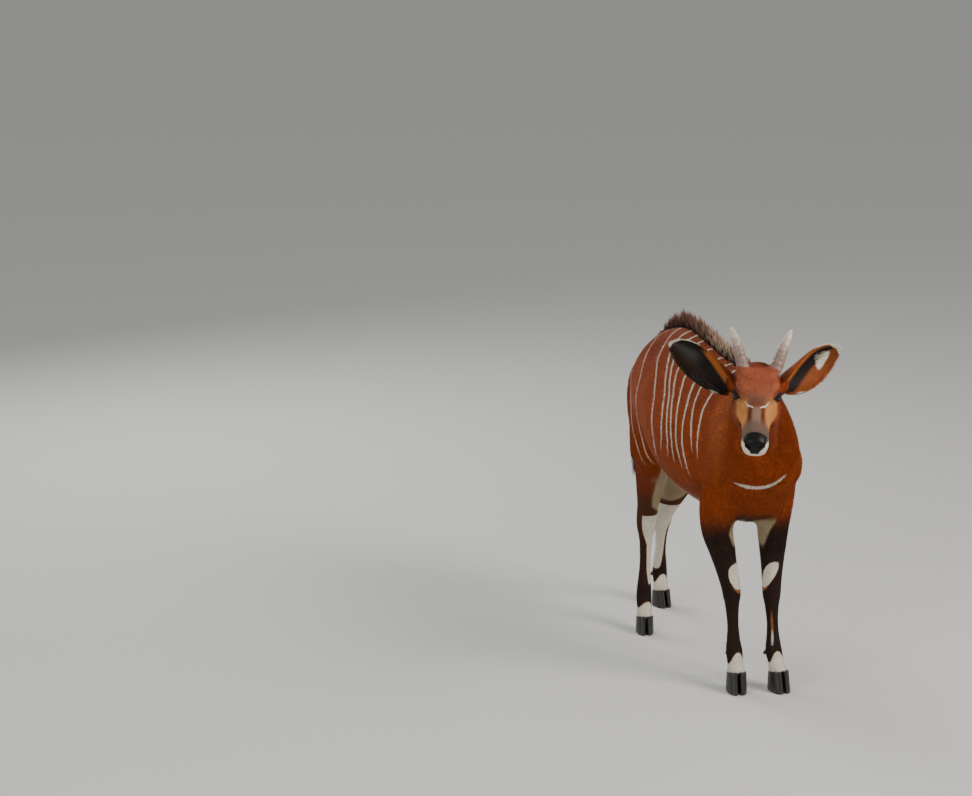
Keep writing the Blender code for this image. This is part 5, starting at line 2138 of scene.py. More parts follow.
@dataclass(frozen=True)
class EyeFinish:
    """Dark wet eye: brown iris round a level pupil, dark rim."""

    iris: Point = (0.030, 0.012, 0.006)
    pupil: Point = (0.003, 0.003, 0.004)
    rim: Point = (0.012, 0.008, 0.007)

    def build(self) -> bpy.types.Material:
        """Makes the material.

        Returns:
            The material.
        """
        work = Finish("eye_wet")
        along, rise, _ = work.split(work.attribute("gaze"))
        wide = work.math("POWER", work.math("DIVIDE", along, 0.48), 2.0)
        tall = work.math("POWER", work.math("DIVIDE", rise, 0.27), 2.0)
        inner = work.math("ADD", wide, tall)
        away = work.math("SQRT", work.math("ADD", work.math("POWER", along, 2.0),
                                           work.math("POWER", rise, 2.0)))
        fibres = work.ramp(work.noise(900.0, 3.0), 0.3, 0.7, 0.6, 1.4)
        iris = work.scaled(self.iris, fibres)
        colour = work.mix(work.ramp(away, 0.62, 0.78), iris, self.rim)
        colour = work.mix(work.ramp(inner, 1.15, 0.85), colour, self.pupil)
        work.set({"Base Color": colour, "Roughness": 0.07, "Specular IOR Level": 0.30,
                  "IOR": 1.33})
        return work.material


class HairTree(Graph):
    """Geometry Nodes that set hair on a skin, or on rooted points, and make it real."""

    def __init__(self, name: str, scatter: bool) -> None:
        """Builds the tree.

        Args:
            name: Name of the tree.
            scatter: Whether roots are spread over faces, or are the mesh's own points.
        """
        super().__init__(bpy.data.node_groups.new(name, "GeometryNodeTree"))
        self.ids: dict[str, str] = {}
        self.tree.interface.new_socket("Geometry", in_out="OUTPUT",
                                       socket_type="NodeSocketGeometry")
        self.source = self.input_node(scatter)
        roots = self.scatter_roots() if scatter else self.source.outputs["Geometry"]
        self.finish(roots, scatter)

    def input_node(self, scatter: bool) -> bpy.types.Node:
        """Names the tree's inputs and returns the node that gives them.

        Args:
            scatter: Whether roots are spread over faces.

        Returns:
            The node.
        """
        wanted = [("Geometry", "NodeSocketGeometry"), ("Strand", "NodeSocketObject"),
                  ("Material", "NodeSocketMaterial"), ("Seed", "NodeSocketInt")]
        if scatter:
            wanted += [("Density", "NodeSocketFloat"), ("Width", "NodeSocketFloat"),
                       ("Thickness", "NodeSocketFloat")]
        for name, kind in wanted:
            socket = self.tree.interface.new_socket(name, in_out="INPUT", socket_type=kind)
            self.ids[name] = socket.identifier
        return self.add("NodeGroupInput")

    def named(self, name: str, kind: str) -> bpy.types.NodeSocket:
        """Attribute of the incoming mesh or points.

        Args:
            name: Name of the attribute.
            kind: Its data type.

        Returns:
            The attribute's socket.
        """
        node = self.add("GeometryNodeInputNamedAttribute", {"data_type": kind})
        node.inputs["Name"].default_value = name
        return node.outputs["Attribute"]

    def chance(self, low: float, high: float, salt: int) -> bpy.types.NodeSocket:
        """A random number for each root.

        Args:
            low: Lowest number.
            high: Highest number.
            salt: Number that tells draws apart.

        Returns:
            The number's socket.
        """
        node = self.add("FunctionNodeRandomValue", {"data_type": "FLOAT"})
        self.feed(node.inputs[2], low)
        self.feed(node.inputs[3], high)
        self.feed(node.inputs["Seed"], self.math("ADD", self.source.outputs["Seed"], salt))
        return node.outputs[1]

    def chance_vector(self, reach: float, salt: int) -> bpy.types.NodeSocket:
        """A random vector for each root.

        Args:
            reach: Largest part of the vector.
            salt: Number that tells draws apart.

        Returns:
            The vector's socket.
        """
        node = self.add("FunctionNodeRandomValue", {"data_type": "FLOAT_VECTOR"})
        self.feed(node.inputs[0], (-reach, -reach, -reach))
        self.feed(node.inputs[1], (reach, reach, reach))
        self.feed(node.inputs["Seed"], self.math("ADD", self.source.outputs["Seed"], salt))
        return node.outputs[0]

    def scatter_roots(self) -> bpy.types.NodeSocket:
        """Spreads roots over the skin and works out how each tuft stands.

        Returns:
            The roots' socket.
        """
        spread = self.add("GeometryNodeDistributePointsOnFaces",
                          {"distribute_method": "RANDOM"})
        self.feed(spread.inputs["Mesh"], self.source.outputs["Geometry"])
        dense = self.math("MULTIPLY", self.named("cover", "FLOAT"),
                          self.source.outputs["Density"])
        self.feed(spread.inputs["Density"], dense)
        self.feed(spread.inputs["Seed"], self.source.outputs["Seed"])
        sunk = self.add("GeometryNodeSetPosition")
        self.feed(sunk.inputs["Geometry"], spread.outputs["Points"])
        self.feed(sunk.inputs["Offset"], self.scaled(spread.outputs["Normal"], -0.0005))
        raised = self.math("MULTIPLY", self.named("lift", "FLOAT"),
                           self.chance(0.45, 1.45, 1))
        grow = self.vector("ADD", self.named("flow", "FLOAT_VECTOR"),
                           self.scaled(spread.outputs["Normal"], raised))
        grow = self.vector("ADD", grow, self.chance_vector(0.13, 2))
        size = self.combine(
            self.math("MULTIPLY", self.source.outputs["Width"], self.chance(0.7, 1.3, 3)),
            self.math("MULTIPLY", self.named("length", "FLOAT"), self.chance(0.65, 1.2, 4)),
            self.source.outputs["Thickness"])
        roots = sunk.outputs["Geometry"]
        for name, value in (("along", grow), ("facing", spread.outputs["Normal"]),
                            ("size", size)):
            roots = self.kept(roots, name, value, "FLOAT_VECTOR", "POINT")
        return roots

    def kept(self, geometry: object, name: str, value: object, kind: str,
             domain: str) -> bpy.types.NodeSocket:
        """Stores an attribute on the way.

        Args:
            geometry: Socket of the geometry.
            name: Name of the attribute.
            value: Its value.
            kind: Its data type.
            domain: Where it is stored.

        Returns:
            The geometry with the attribute.
        """
        node = self.add("GeometryNodeStoreNamedAttribute",
                        {"data_type": kind, "domain": domain})
        self.feed(node.inputs["Geometry"], geometry)
        self.feed(node.inputs["Name"], name)
        self.feed(node.inputs["Value"], value)
        return node.outputs["Geometry"]

    def finish(self, roots: bpy.types.NodeSocket, scatter: bool) -> None:
        """Sets a strand on every root, makes them real and gives them their material.

        Args:
            roots: Socket of the roots.
            scatter: Whether they were spread over faces.
        """
        strand = self.add("GeometryNodeObjectInfo", {"transform_space": "ORIGINAL"})
        self.feed(strand.inputs["Object"], self.source.outputs["Strand"])
        turn = self.add("FunctionNodeAxesToRotation",
                        {"primary_axis": "Y", "secondary_axis": "Z"})
        self.feed(turn.inputs[0], self.named("along", "FLOAT_VECTOR"))
        self.feed(turn.inputs[1], self.named("facing", "FLOAT_VECTOR"))
        planted = self.add("GeometryNodeInstanceOnPoints")
        self.feed(planted.inputs["Points"], roots)
        self.feed(planted.inputs["Instance"], strand.outputs["Geometry"])
        self.feed(planted.inputs["Rotation"], turn.outputs["Rotation"])
        self.feed(planted.inputs["Scale"], self.named("size", "FLOAT_VECTOR"))
        shaded = self.kept(planted.outputs["Instances"], "shade", self.chance(0.0, 1.0, 5),
                           "FLOAT", "INSTANCE")
        real = self.add("GeometryNodeRealizeInstances")
        self.feed(real.inputs["Geometry"], shaded)
        patch = self.vector("SUBTRACT", self.named("patch", "FLOAT_VECTOR"), (0.5, 0.5, 0.0))
        corner = self.vector("ADD", self.named("unwrap", "FLOAT_VECTOR"),
                             self.scaled(patch, 0.003))
        made = self.kept(real.outputs["Geometry"], "OFBake", corner, "FLOAT2", "CORNER")
        spent = ["along", "facing", "size", "unwrap", "patch", "cover", "flow", "lift", "length"]
        if scatter:
            made = self.follow_marks(made)
            spent += [name + "_end" for name in MARK_NAMES]
        for name in spent:
            drop = self.add("GeometryNodeRemoveAttribute")
            self.feed(drop.inputs["Geometry"], made)
            self.feed(drop.inputs["Name"], name)
            made = drop.outputs["Geometry"]
        dress = self.add("GeometryNodeSetMaterial")
        self.feed(dress.inputs["Geometry"], made)
        self.feed(dress.inputs["Material"], self.source.outputs["Material"])
        out = self.add("NodeGroupOutput")
        self.feed(out.inputs["Geometry"], dress.outputs["Geometry"])

    def follow_marks(self, made: bpy.types.NodeSocket) -> bpy.types.NodeSocket:
        """Lets each tuft's markings change from its root to its tip as the skin's do.

        Args:
            made: The tufts, made real.

        Returns:
            The tufts with their own markings.
        """
        rise = self.named("rise", "FLOAT")
        for name in MARK_NAMES:
            start = self.named(name, "FLOAT_VECTOR")
            change = self.vector("SUBTRACT", self.named(name + "_end", "FLOAT_VECTOR"), start)
            here = self.vector("ADD", start, self.scaled(change, rise))
            made = self.kept(made, name, here, "FLOAT_VECTOR", "POINT")
        return made

    def grow(self, ground: bpy.types.Object, name: str, values: dict[str, object],
             ) -> bpy.types.Object:
        """Runs the tree on an object and returns the hair as a plain mesh piece.

        Args:
            ground: Object that carries the roots.
            name: Name of the new piece.
            values: Values of the tree's inputs by name.

        Returns:
            The hair.
        """
        change = ground.modifiers.new("hair", "NODES")
        change.node_group = self.tree
        for key, value in values.items():
            change[self.ids[key]] = value
        bpy.context.view_layer.update()
        graph = bpy.context.evaluated_depsgraph_get()
        made = bpy.data.meshes.new_from_object(ground.evaluated_get(graph),
                                               preserve_all_data_layers=True,
                                               depsgraph=graph)
        ground.modifiers.remove(change)
        made.name = name
        return add_piece(name, made)


def short_strand() -> bpy.types.Object:
    """A closed flat tuft of four faces: 1 long, 1 wide and 1 thick at its root.

    Returns:
        The tuft.
    """
    mesh = bmesh.new()
    places = ((-0.5, 0.0, 0.0), (0.5, 0.0, 0.0), (0.0, 0.12, 1.0), (0.0, 1.0, 0.25))
    verts = [mesh.verts.new(place) for place in places]
    for order in ((0, 2, 1), (0, 1, 3), (1, 2, 3), (2, 0, 3)):
        mesh.faces.new([verts[index] for index in order])
    return strand_object("tuft_strand", mesh)


def long_strand(steps: int = 4, curl: float = 0.22) -> bpy.types.Object:
    """A closed curved lock of three sides, pointed at its tip.

    Args:
        steps: Number of its sections.
        curl: How far it bends.

    Returns:
        The lock.
    """
    mesh = bmesh.new()
    rings = []
    for step in range(steps):
        share = step / steps
        wide = 0.5 * (0.80 + 0.35 * share - 0.95 * share * share)
        lift = -curl * share * share
        deep = 0.5 - 0.35 * share
        ring = [mesh.verts.new((-wide, share, lift)), mesh.verts.new((wide, share, lift)),
                mesh.verts.new((0.0, share, lift + deep * 1.0))]
        rings.append(ring)
    for lower, upper in zip(rings, rings[1:]):
        for index in range(3):
            after = (index + 1) % 3
            mesh.faces.new((lower[index], lower[after], upper[after], upper[index]))
    mesh.faces.new(rings[0])
    tip = mesh.verts.new((0.0, 1.0, -curl))
    for index in range(3):
        mesh.faces.new((rings[-1][index], rings[-1][(index + 1) % 3], tip))
    bmesh.ops.triangulate(mesh, faces=mesh.faces)
    return strand_object("lock_strand", mesh)


def strand_object(name: str, mesh: bmesh.types.BMesh) -> bpy.types.Object:
    """A strand with its rise from root to tip and its place in a bake patch.

    Args:
        name: Name of the strand.
        mesh: Its mesh.

    Returns:
        The object.
    """
    strand = piece_from(name, mesh)
    points = get_points(strand.data)
    store(strand.data, "rise", np.clip(points[:, 1], 0.0, 1.0))
    corners = np.empty(len(strand.data.loops), dtype=int)
    strand.data.loops.foreach_get("vertex_index", corners)
    patch = np.stack((points[:, 0] * 0.8 + points[:, 2] * 0.3 + 0.45, points[:, 1],
                      np.zeros(len(points))), axis=1)
    store(strand.data, "patch", patch[corners], "CORNER")
    return strand


@dataclass
class Hide:
    """The one closed skin of the animal, with its face, ears and feet."""

    flesh: Flesh
    face: Face
    body_depth: float = 0.0034
    leg_depth: float = 0.0017
    face_depth: float = 0.0014
    muzzle_depth: float = 0.0007
    body_faces: int = 42000
    most_triangles: int = 182000

    def depth(self, points: np.ndarray) -> np.ndarray:
        """How deep the skin lies inside the coat's surface.

        Args:
            points: Points, one row each.

        Returns:
            One depth in metres for each point.
        """
        own = HEAD.inward(points)
        depth = np.full(len(points), self.body_depth)
        low = smooth_share(0.60 - points[:, 2], 0.0, 0.16)
        depth = depth + (self.leg_depth - depth) * low
        tail = (points[:, 1] > 0.47) & (np.abs(points[:, 0]) < 0.03)
        depth[tail] = 0.0016
        head = smooth_share(0.16 - own[:, 1], 0.0, 0.08) * (np.linalg.norm(own, axis=1) < 0.30)
        depth = depth + (self.face_depth - depth) * head
        snout = smooth_share(-own[:, 1], 0.12, 0.17) * (np.linalg.norm(own, axis=1) < 0.30)
        return depth + (self.muzzle_depth - depth) * snout

    def thin(self, body: bpy.types.Object) -> None:
        """Uses fewer faces away from the face, where the forms are broad.

        Args:
            body: The object.
        """
        points = get_points(body.data)
        own = HEAD.inward(points)
        head = (own[:, 1] < 0.10) & (np.linalg.norm(own, axis=1) < 0.30)
        small = points[:, 2] < 0.50
        chosen = ~head & ~small
        group = body.vertex_groups.new(name="thin")
        group.add(np.nonzero(chosen)[0].tolist(), 1.0, "REPLACE")
        total = len(body.data.polygons)
        change = body.modifiers.new("thin", "DECIMATE")
        spare = int(chosen.sum()) - self.body_faces
        change.ratio = max((total - spare) / total, 0.1)
        change.vertex_group = "thin"
        settle(body)
        body.vertex_groups.clear()

    def lighten(self, body: bpy.types.Object) -> None:
        """Collapses the flattest faces of the head and legs, to keep the skin within its limit.

        Args:
            body: The object.
        """
        points = get_points(body.data)
        own = HEAD.inward(points)
        head = (own[:, 1] < 0.10) & (np.linalg.norm(own, axis=1) < 0.30)
        chosen = np.nonzero(head | (points[:, 2] < 0.50))[0]
        body.vertex_groups.new(name="light").add(chosen.tolist(), 1.0, "REPLACE")
        total = sum(len(face.vertices) - 2 for face in body.data.polygons)
        change = body.modifiers.new("light", "DECIMATE")
        change.ratio = min(self.most_triangles / total, 1.0)
        change.vertex_group = "light"
        settle(body)
        body.vertex_groups.clear()

    def trim_feet(self, body: bpy.types.Object) -> None:
        """Cuts the legs off at the tops of their claws and closes them.

        Args:
            body: The object.
        """
        mesh = bmesh.new()
        mesh.from_mesh(body.data)
        for limb in LIMBS.values():
            place, normal = coronet_plane(limb)
            centre = Vector((place[0], place[1], 0.0))
            near = [face for face in mesh.faces
                    if (Vector((*face.calc_center_median()[:2], 0.0)) - centre).length < 0.09
                    and face.calc_center_median()[2] < 0.09]
            # A dict, unlike a set, keeps the same order in every run
            parts = dict.fromkeys(near)
            for face in near:
                parts.update(dict.fromkeys((*face.edges, *face.verts)))
            bmesh.ops.bisect_plane(mesh, geom=list(parts), plane_co=place,
                                   plane_no=-normal, clear_outer=True)
        rims = [edge for edge in mesh.edges if edge.is_boundary]
        made = bmesh.ops.holes_fill(mesh, edges=rims, sides=0)
        bmesh.ops.triangulate(mesh, faces=made["faces"])
        mesh.to_mesh(body.data)
        mesh.free()

    def build(self) -> bpy.types.Object:
        """Makes the skin in the maker's frame.

        Returns:
            The object.
        """
        body = self.flesh.build()
        points = get_points(body.data)
        depth = self.depth(points)
        set_points(body.data, points - get_normals(body.data) * depth[:, None])
        self.thin(body)
        LOG.info("skin has %d faces before its face is made", len(body.data.polygons))
        self.face.shape(body)
        self.lighten(body)
        self.trim_feet(body)
        for ear in EARS:
            fuse_bodies(body, ear.build())
        LOG.info("skin has %d faces", len(body.data.polygons))
        body.data.polygons.foreach_set("use_smooth", [True] * len(body.data.polygons))
        return body


CORONET_HEIGHTS = {True: 0.0625, False: 0.0565}
CORONET_SLOPE = 0.20


def foot_matrix(limb: Limb) -> Matrix:
    """Matrix of a foot: the middle of its coronet above the ground, turned to its toes.

    Args:
        limb: The leg.

    Returns:
        The matrix.
    """
    x, y, _ = limb.coronet()
    turn = Matrix.Rotation(math.radians(limb.foot_turn), 4, "Z")
    return Matrix.Translation((x, y, 0.0)) @ turn


def coronet_plane(limb: Limb) -> tuple[Vector, Vector]:
    """A point and the upward normal of the plane between a leg and its claws.

    Args:
        limb: The leg.

    Returns:
        The point and the normal.
    """
    matrix = foot_matrix(limb)
    place = matrix @ Vector((0.0, 0.0, CORONET_HEIGHTS[limb.front]))
    normal = matrix.to_3x3() @ Vector((0.0, CORONET_SLOPE, 1.0))
    return place, normal.normalized()


@dataclass
class Coat:
    """Short hair all over the skin, with the skin's own markings."""

    markings: Markings
    lie: CoatLie
    reach: float = 0.90
    seed: int = 40

    def dress_skin(self, skin: bpy.types.Object) -> Places:
        """Stores the colour attributes on the skin.

        Args:
            skin: The finished skin.

        Returns:
            Places of the skin's points.
        """
        mesh = skin.data
        at = Places(get_points(mesh), get_normals(mesh))
        for name, values in self.markings.attributes(at).items():
            store(mesh, name, values)
        return at

    def lay_ground(self, skin: bpy.types.Object, at: Places) -> bpy.types.Object:
        """A copy of the skin that carries what the tufts need.

        Args:
            skin: The skin.
            at: Places of its points.

        Returns:
            The copy.
        """
        mesh = skin.data.copy()
        ground = add_piece("ground", mesh)
        flow = self.lie.flow(at)
        length = self.lie.length(at)
        ahead = Places(at.points + flow * (length * self.reach)[:, None], at.normals)
        for name, values in self.markings.attributes(ahead).items():
            store(mesh, name + "_end", values)
        store(mesh, "flow", flow)
        store(mesh, "length", length)
        store(mesh, "lift", self.lie.lift(at))
        store(mesh, "cover", np.zeros(len(at.points)))
        store(mesh, "unwrap", np.zeros((len(mesh.loops), 3)), "CORNER")
        return ground

    def unwrap(self, mesh: bpy.types.Mesh, at: Places, area: Area, mask: np.ndarray) -> None:
        """Writes where each corner lies on the unrolled skin of an area.

        Args:
            mesh: The mesh.
            at: Places of the points.
            area: The area.
            mask: Which points belong to it.
        """
        turn, along, column, columns = unroll(at, area)
        low, high = along[mask].min(), along[mask].max()
        corners = np.empty(len(mesh.loops), dtype=int)
        mesh.loops.foreach_get("vertex_index", corners)
        starts = np.empty(len(mesh.polygons), dtype=int)
        totals = np.empty(len(mesh.polygons), dtype=int)
        mesh.polygons.foreach_get("loop_start", starts)
        mesh.polygons.foreach_get("loop_total", totals)
        first = np.repeat(corners[starts], totals)
        own = turn[corners]
        own = own - np.round(own - turn[first])
        across = (column[first] + 0.01 + 0.98 * np.clip(own, 0.0, 1.0)) / columns
        level = 0.01 + 0.98 * np.clip((along[corners] - low) / (high - low), 0.0, 1.0)
        rows = np.stack((across, level, np.zeros(len(corners))), axis=1)
        mesh.attributes["unwrap"].data.foreach_set("vector", rows.astype(np.float32).ravel())

    def weigh(self, mesh: bpy.types.Mesh, cover: np.ndarray) -> float:
        """Area of the skin times its share of tufts.

        Args:
            mesh: The mesh.
            cover: Share of the full number of tufts at each point.

        Returns:
            The weighted area.
        """
        areas = np.empty(len(mesh.polygons))
        mesh.polygons.foreach_get("area", areas)
        corners = np.empty(len(mesh.loops), dtype=int)
        mesh.loops.foreach_get("vertex_index", corners)
        starts = np.empty(len(mesh.polygons), dtype=int)
        totals = np.empty(len(mesh.polygons), dtype=int)
        mesh.polygons.foreach_get("loop_start", starts)
        mesh.polygons.foreach_get("loop_total", totals)
        sums = np.add.reduceat(cover[corners], starts)
        return float(np.sum(areas * sums / totals))

    def grow(self, skin: bpy.types.Object, at: Places) -> list[tuple[bpy.types.Object, Growth]]:
        """Grows every area of the coat.

        Args:
            skin: The dressed skin.
            at: Places of its points.

        Returns:
            The new pieces with how they were grown.
        """
        ground = self.lay_ground(skin, at)
        tree = HairTree("coat_tufts", True)
        strand = short_strand()
        material = CoatFinish("coat_hair", True).build()
        cover = self.lie.cover(at, self.markings.attributes(at)["bare"][:, 0])
        masks = area_masks(at)
        made = []
        for number, growth in enumerate(GROWTHS):
            mask = masks[growth.area]
            own = np.where(mask, cover, 0.0)
            ground.data.attributes["cover"].data.foreach_set("value", own.astype(np.float32))
            self.unwrap(ground.data, at, growth.area, mask)
            ground.data.update()
            density = growth.tufts / max(self.weigh(ground.data, own), 1e-6)
            piece = tree.grow(ground, "coat_" + growth.area.value, {
                "Strand": strand, "Material": material, "Seed": self.seed + number,
                "Density": density, "Width": growth.width, "Thickness": growth.thickness})
            LOG.info("%s has %d faces", piece.name, len(piece.data.polygons))
            made.append((piece, growth))
        bpy.data.objects.remove(ground, do_unlink=True)
        bpy.data.objects.remove(strand, do_unlink=True)
        return made


@dataclass
class Roots:
    """Rooted locks that wait to be grown: places, directions, sizes and colours."""

    places: list
    along: list
    facing: list
    size: list
    tone: list
    tip: list
    unwrap: list

    @staticmethod
    def none() -> "Roots":
        """An empty set of roots."""
        return Roots([], [], [], [], [], [], [])

    def add(self, place: Row, along: Row, facing: Row, size: Row, tone: Row, tip: Row,
            unwrap: tuple[float, float]) -> None:
        """Adds one lock.

        Args:
            place: Root of the lock.
            along: Direction that it grows in.
            facing: Direction of its raised side.
            size: Its width, length and thickness.
            tone: Colour at the root.
            tip: Colour at the tip.
            unwrap: Place of its root on the unrolled skin.
        """
        self.places.append(tuple(place))
        self.along.append(tuple(along))
        self.facing.append(tuple(facing))
        self.size.append(tuple(size))
        self.tone.append(tuple(tone))
        self.tip.append(tuple(tip))
        self.unwrap.append((unwrap[0], unwrap[1], 0.0))

    def plant(self) -> bpy.types.Object:
        """An object of bare points with the locks' attributes.

        Returns:
            The object.
        """
        mesh = bpy.data.meshes.new("roots")
        mesh.from_pydata(self.places, [], [])
        for name in ("along", "facing", "size", "tone", "tip", "unwrap"):
            store(mesh, name, np.array(getattr(self, name), dtype=float))
        return add_piece("roots", mesh)


@dataclass
class LongHair:
    """Crest along the back, tail tuft, ear hair and lashes."""

    crest_from: float = -0.515
    crest_to: float = 0.40
    crest_locks: int = 3400
    crest_height: float = 0.067
    tail_end: float = 0.455
    seed: int = 17

    def __post_init__(self) -> None:
        """Makes the tree, the strand and the finish that all long hair shares."""
        self.tree = HairTree("long_locks", False)
        self.strand = long_strand()
        self.material = LockFinish("long_hair").build()
        self.chance = np.random.default_rng(self.seed)

    def grow(self, roots: Roots, name: str) -> bpy.types.Object:
        """Turns roots into a piece of long hair.

        Args:
            roots: The roots.
            name: Name of the result.

        Returns:
            The piece.
        """
        ground = roots.plant()
        piece = self.tree.grow(ground, name, {"Strand": self.strand,
                                              "Material": self.material, "Seed": 3})
        bpy.data.objects.remove(ground, do_unlink=True)
        LOG.info("%s has %d faces", name, len(piece.data.polygons))
        return piece

    def crest_middle(self, y: float) -> float:
        """Sideways place of the ridge that carries the crest."""
        bend = float(smooth_share(np.array(-y), 0.33, 0.45))
        return -0.052 * bend - 0.30 * max(-0.45 - y, 0.0)

    def crest_pieces(self, skin: bpy.types.Object) -> list[bpy.types.Object]:
        """The crest, as one piece on the neck and one on the back.

        Args:
            skin: The finished skin.

        Returns:
            The two pieces.
        """
        neck, back = Roots.none(), Roots.none()
        down = Vector((0.0, 0.0, -1.0))
        for index in range(self.crest_locks):
            share = (index + self.chance.uniform(0.0, 1.0)) / self.crest_locks
            y = self.crest_from + (self.crest_to - self.crest_from) * share
            spread = 0.0135 * min(1.0, 0.5 + 2.5 * share) * min(1.0, 0.4 + 3.0 * (1.0 - share))
            aside = float(np.clip(self.chance.normal(0.0, 0.5), -1.0, 1.0))
            x = self.crest_middle(y) + aside * spread
            found, place, normal, _ = skin.ray_cast(Vector((x, y, 1.4)), down)
            if not found:
                continue
            rise = min(1.0, 0.30 + 2.0 * share) * min(1.0, 0.30 + 3.2 * (1.0 - share))
            ragged = 0.80 + 0.20 * math.sin(y * 150.0 + 1.3 * math.sin(y * 47.0))
            height = self.crest_height * rise * ragged * (1.0 - 0.40 * abs(aside))
            height *= self.chance.uniform(0.72, 1.10)
            grow = Vector((aside * 0.26 + self.chance.normal(0.0, 0.07),
                           0.38 + self.chance.normal(0.0, 0.12), 1.0))
            facing = Vector((self.chance.normal(0.0, 0.35), -1.0, 0.38))
            root = place - normal * 0.001
            blond = float(np.exp(-((y + 0.12) / 0.13) ** 2)) * self.chance.uniform(0.2, 1.0)
            tone = np.array(COLOURS.crest) * self.chance.uniform(0.7, 1.5)
            tip = blend(np.array([COLOURS.crest_tip]), COLOURS.crest_blond,
                        np.array([0.90 * blond]))
            size = (self.chance.uniform(0.0020, 0.0042), height, 0.0016)
            spot = (0.05 + 0.9 * (0.5 + 0.5 * aside), 0.02 + 0.96 * share)
            group = neck if y < -0.375 else back
            group.add(root, grow.normalized(), facing, size, tone, tip[0], spot)
        return [self.grow(neck, "crest_neck"), self.grow(back, "crest_back")]

    def tail_tuft(self) -> bpy.types.Object:
        """Long hair round the end of the tail.

        Returns:
            The piece.
        """
        roots = Roots.none()
        path = curve_through(Flesh().tail, 6)
        for _ in range(900):
            z = self.chance.uniform(0.578, 0.700)
            order = np.argsort(path[:, 2])
            x = float(np.interp(z, path[order, 2], path[order, 0]))
            y = float(np.interp(z, path[order, 2], path[order, 1]))
            half = float(np.interp(z, path[order, 2], path[order, 3]))
            angle = self.chance.uniform(0.0, 2.0 * math.pi)
            out = Vector((math.cos(angle), math.sin(angle), 0.0))
            root = Vector((x, y, z)) + out * (half * 0.75)
            grow = out * self.chance.uniform(0.03, 0.17) + Vector((0.0, 0.0, -1.0))
            low = max(self.tail_end + abs(float(self.chance.normal(0.0, 0.018))), self.tail_end)
            length = min(z - low, 0.125)
            tone = np.array(COLOURS.tail_tuft) * self.chance.uniform(0.7, 1.8)
            size = (self.chance.uniform(0.0016, 0.0030), length, 0.0013)
            spot = (0.02 + 0.96 * angle / (2.0 * math.pi), 0.02 + (z - 0.578) * 7.8)
            roots.add(root, grow.normalized(), out, size, tone, tone * 1.6, spot)
        return self.grow(roots, "tail_tuft")

    def ear_hair(self) -> bpy.types.Object:
        """Pale hair inside the ears and the fringe along their lower rims.

        Returns:
            The piece.
        """
        roots = Roots.none()
        for ear in EARS:
            _, out, face, across = ear.axes()
            table = np.array(ear.rows)
            for index in range(900):
                kind = index % 6
                share = self.chance.uniform(0.10, 0.94)
                high = -self.chance.uniform(0.90, 0.995)
                # The right ear's hair takes the fringe colour darkened as painted shade
                low_tone = COLOURS.ear_fringe if ear.side > 0.0 else COLOURS.ear_fringe_in_shade
                tone = np.array(low_tone) * self.chance.uniform(0.7, 1.5)
                length = self.chance.uniform(0.010, 0.019) * (1.0 - 0.5 * share)
                if share < 0.20:
                    tone = np.array(COLOURS.cream) * self.chance.uniform(0.6, 1.0)
                if kind == 4:
                    left = ear.side > 0.0
                    share = self.chance.uniform(*((0.62, 0.86) if left else (0.1, 0.5)))
                    high = self.chance.uniform(-0.30, 0.16) if left else -0.8
                    high += self.chance.uniform(-0.15, 0.15)
                    # On the right ear the pale hairs are dimmed to grey as painted shade
                    pale = COLOURS.cream if left else COLOURS.ear_sheen_and_shaded_white
                    tone = np.array(pale) * self.chance.uniform(0.6, 1.0)
                    length = self.chance.uniform(0.008, 0.014)
                elif kind == 5:
                    high = self.chance.uniform(0.93, 0.995)
                    tone = np.array(COLOURS.cream if share > 0.68 else COLOURS.ear_lining)
                    length = self.chance.uniform(0.005, 0.008)
                place = -ear.side * high
                width = float(np.interp(share, table[:, 0], table[:, 1]))
                angle = float(np.interp(share, table[:, 0], table[:, 2]))
                radius = width / math.sin(min(angle, math.pi / 2.0))
                turn = angle * place
                spoke = across * math.sin(turn) - face * math.cos(turn)
                spot = ear.line(share)[0] + face * radius * 0.55 + spoke * (radius - 0.0006)
                swing = across * math.cos(turn) + face * math.sin(turn)
                swing = swing * math.copysign(1.0, place)
                if kind == 4:
                    grow = out * 0.8 - swing * self.chance.uniform(-0.1, 0.5) - spoke * 0.30
                else:
                    grow = out * 0.9 + swing * self.chance.uniform(0.25, 0.65) - spoke * 0.15
                size = (0.0012, length, 0.0006)
                column = 0.25 if ear.side < 0.0 else 0.75
                flat = (column + 0.22 * place, 0.02 + 0.96 * share)
                place_out = HEAD.outward(spot[None, :])[0]
                turned = HEAD.outward_directions(np.stack((unit(grow), -spoke)))
                roots.add(place_out, turned[0], turned[1], size, tone, tone * 1.25, flat)
        return self.grow(roots, "ear_hair")

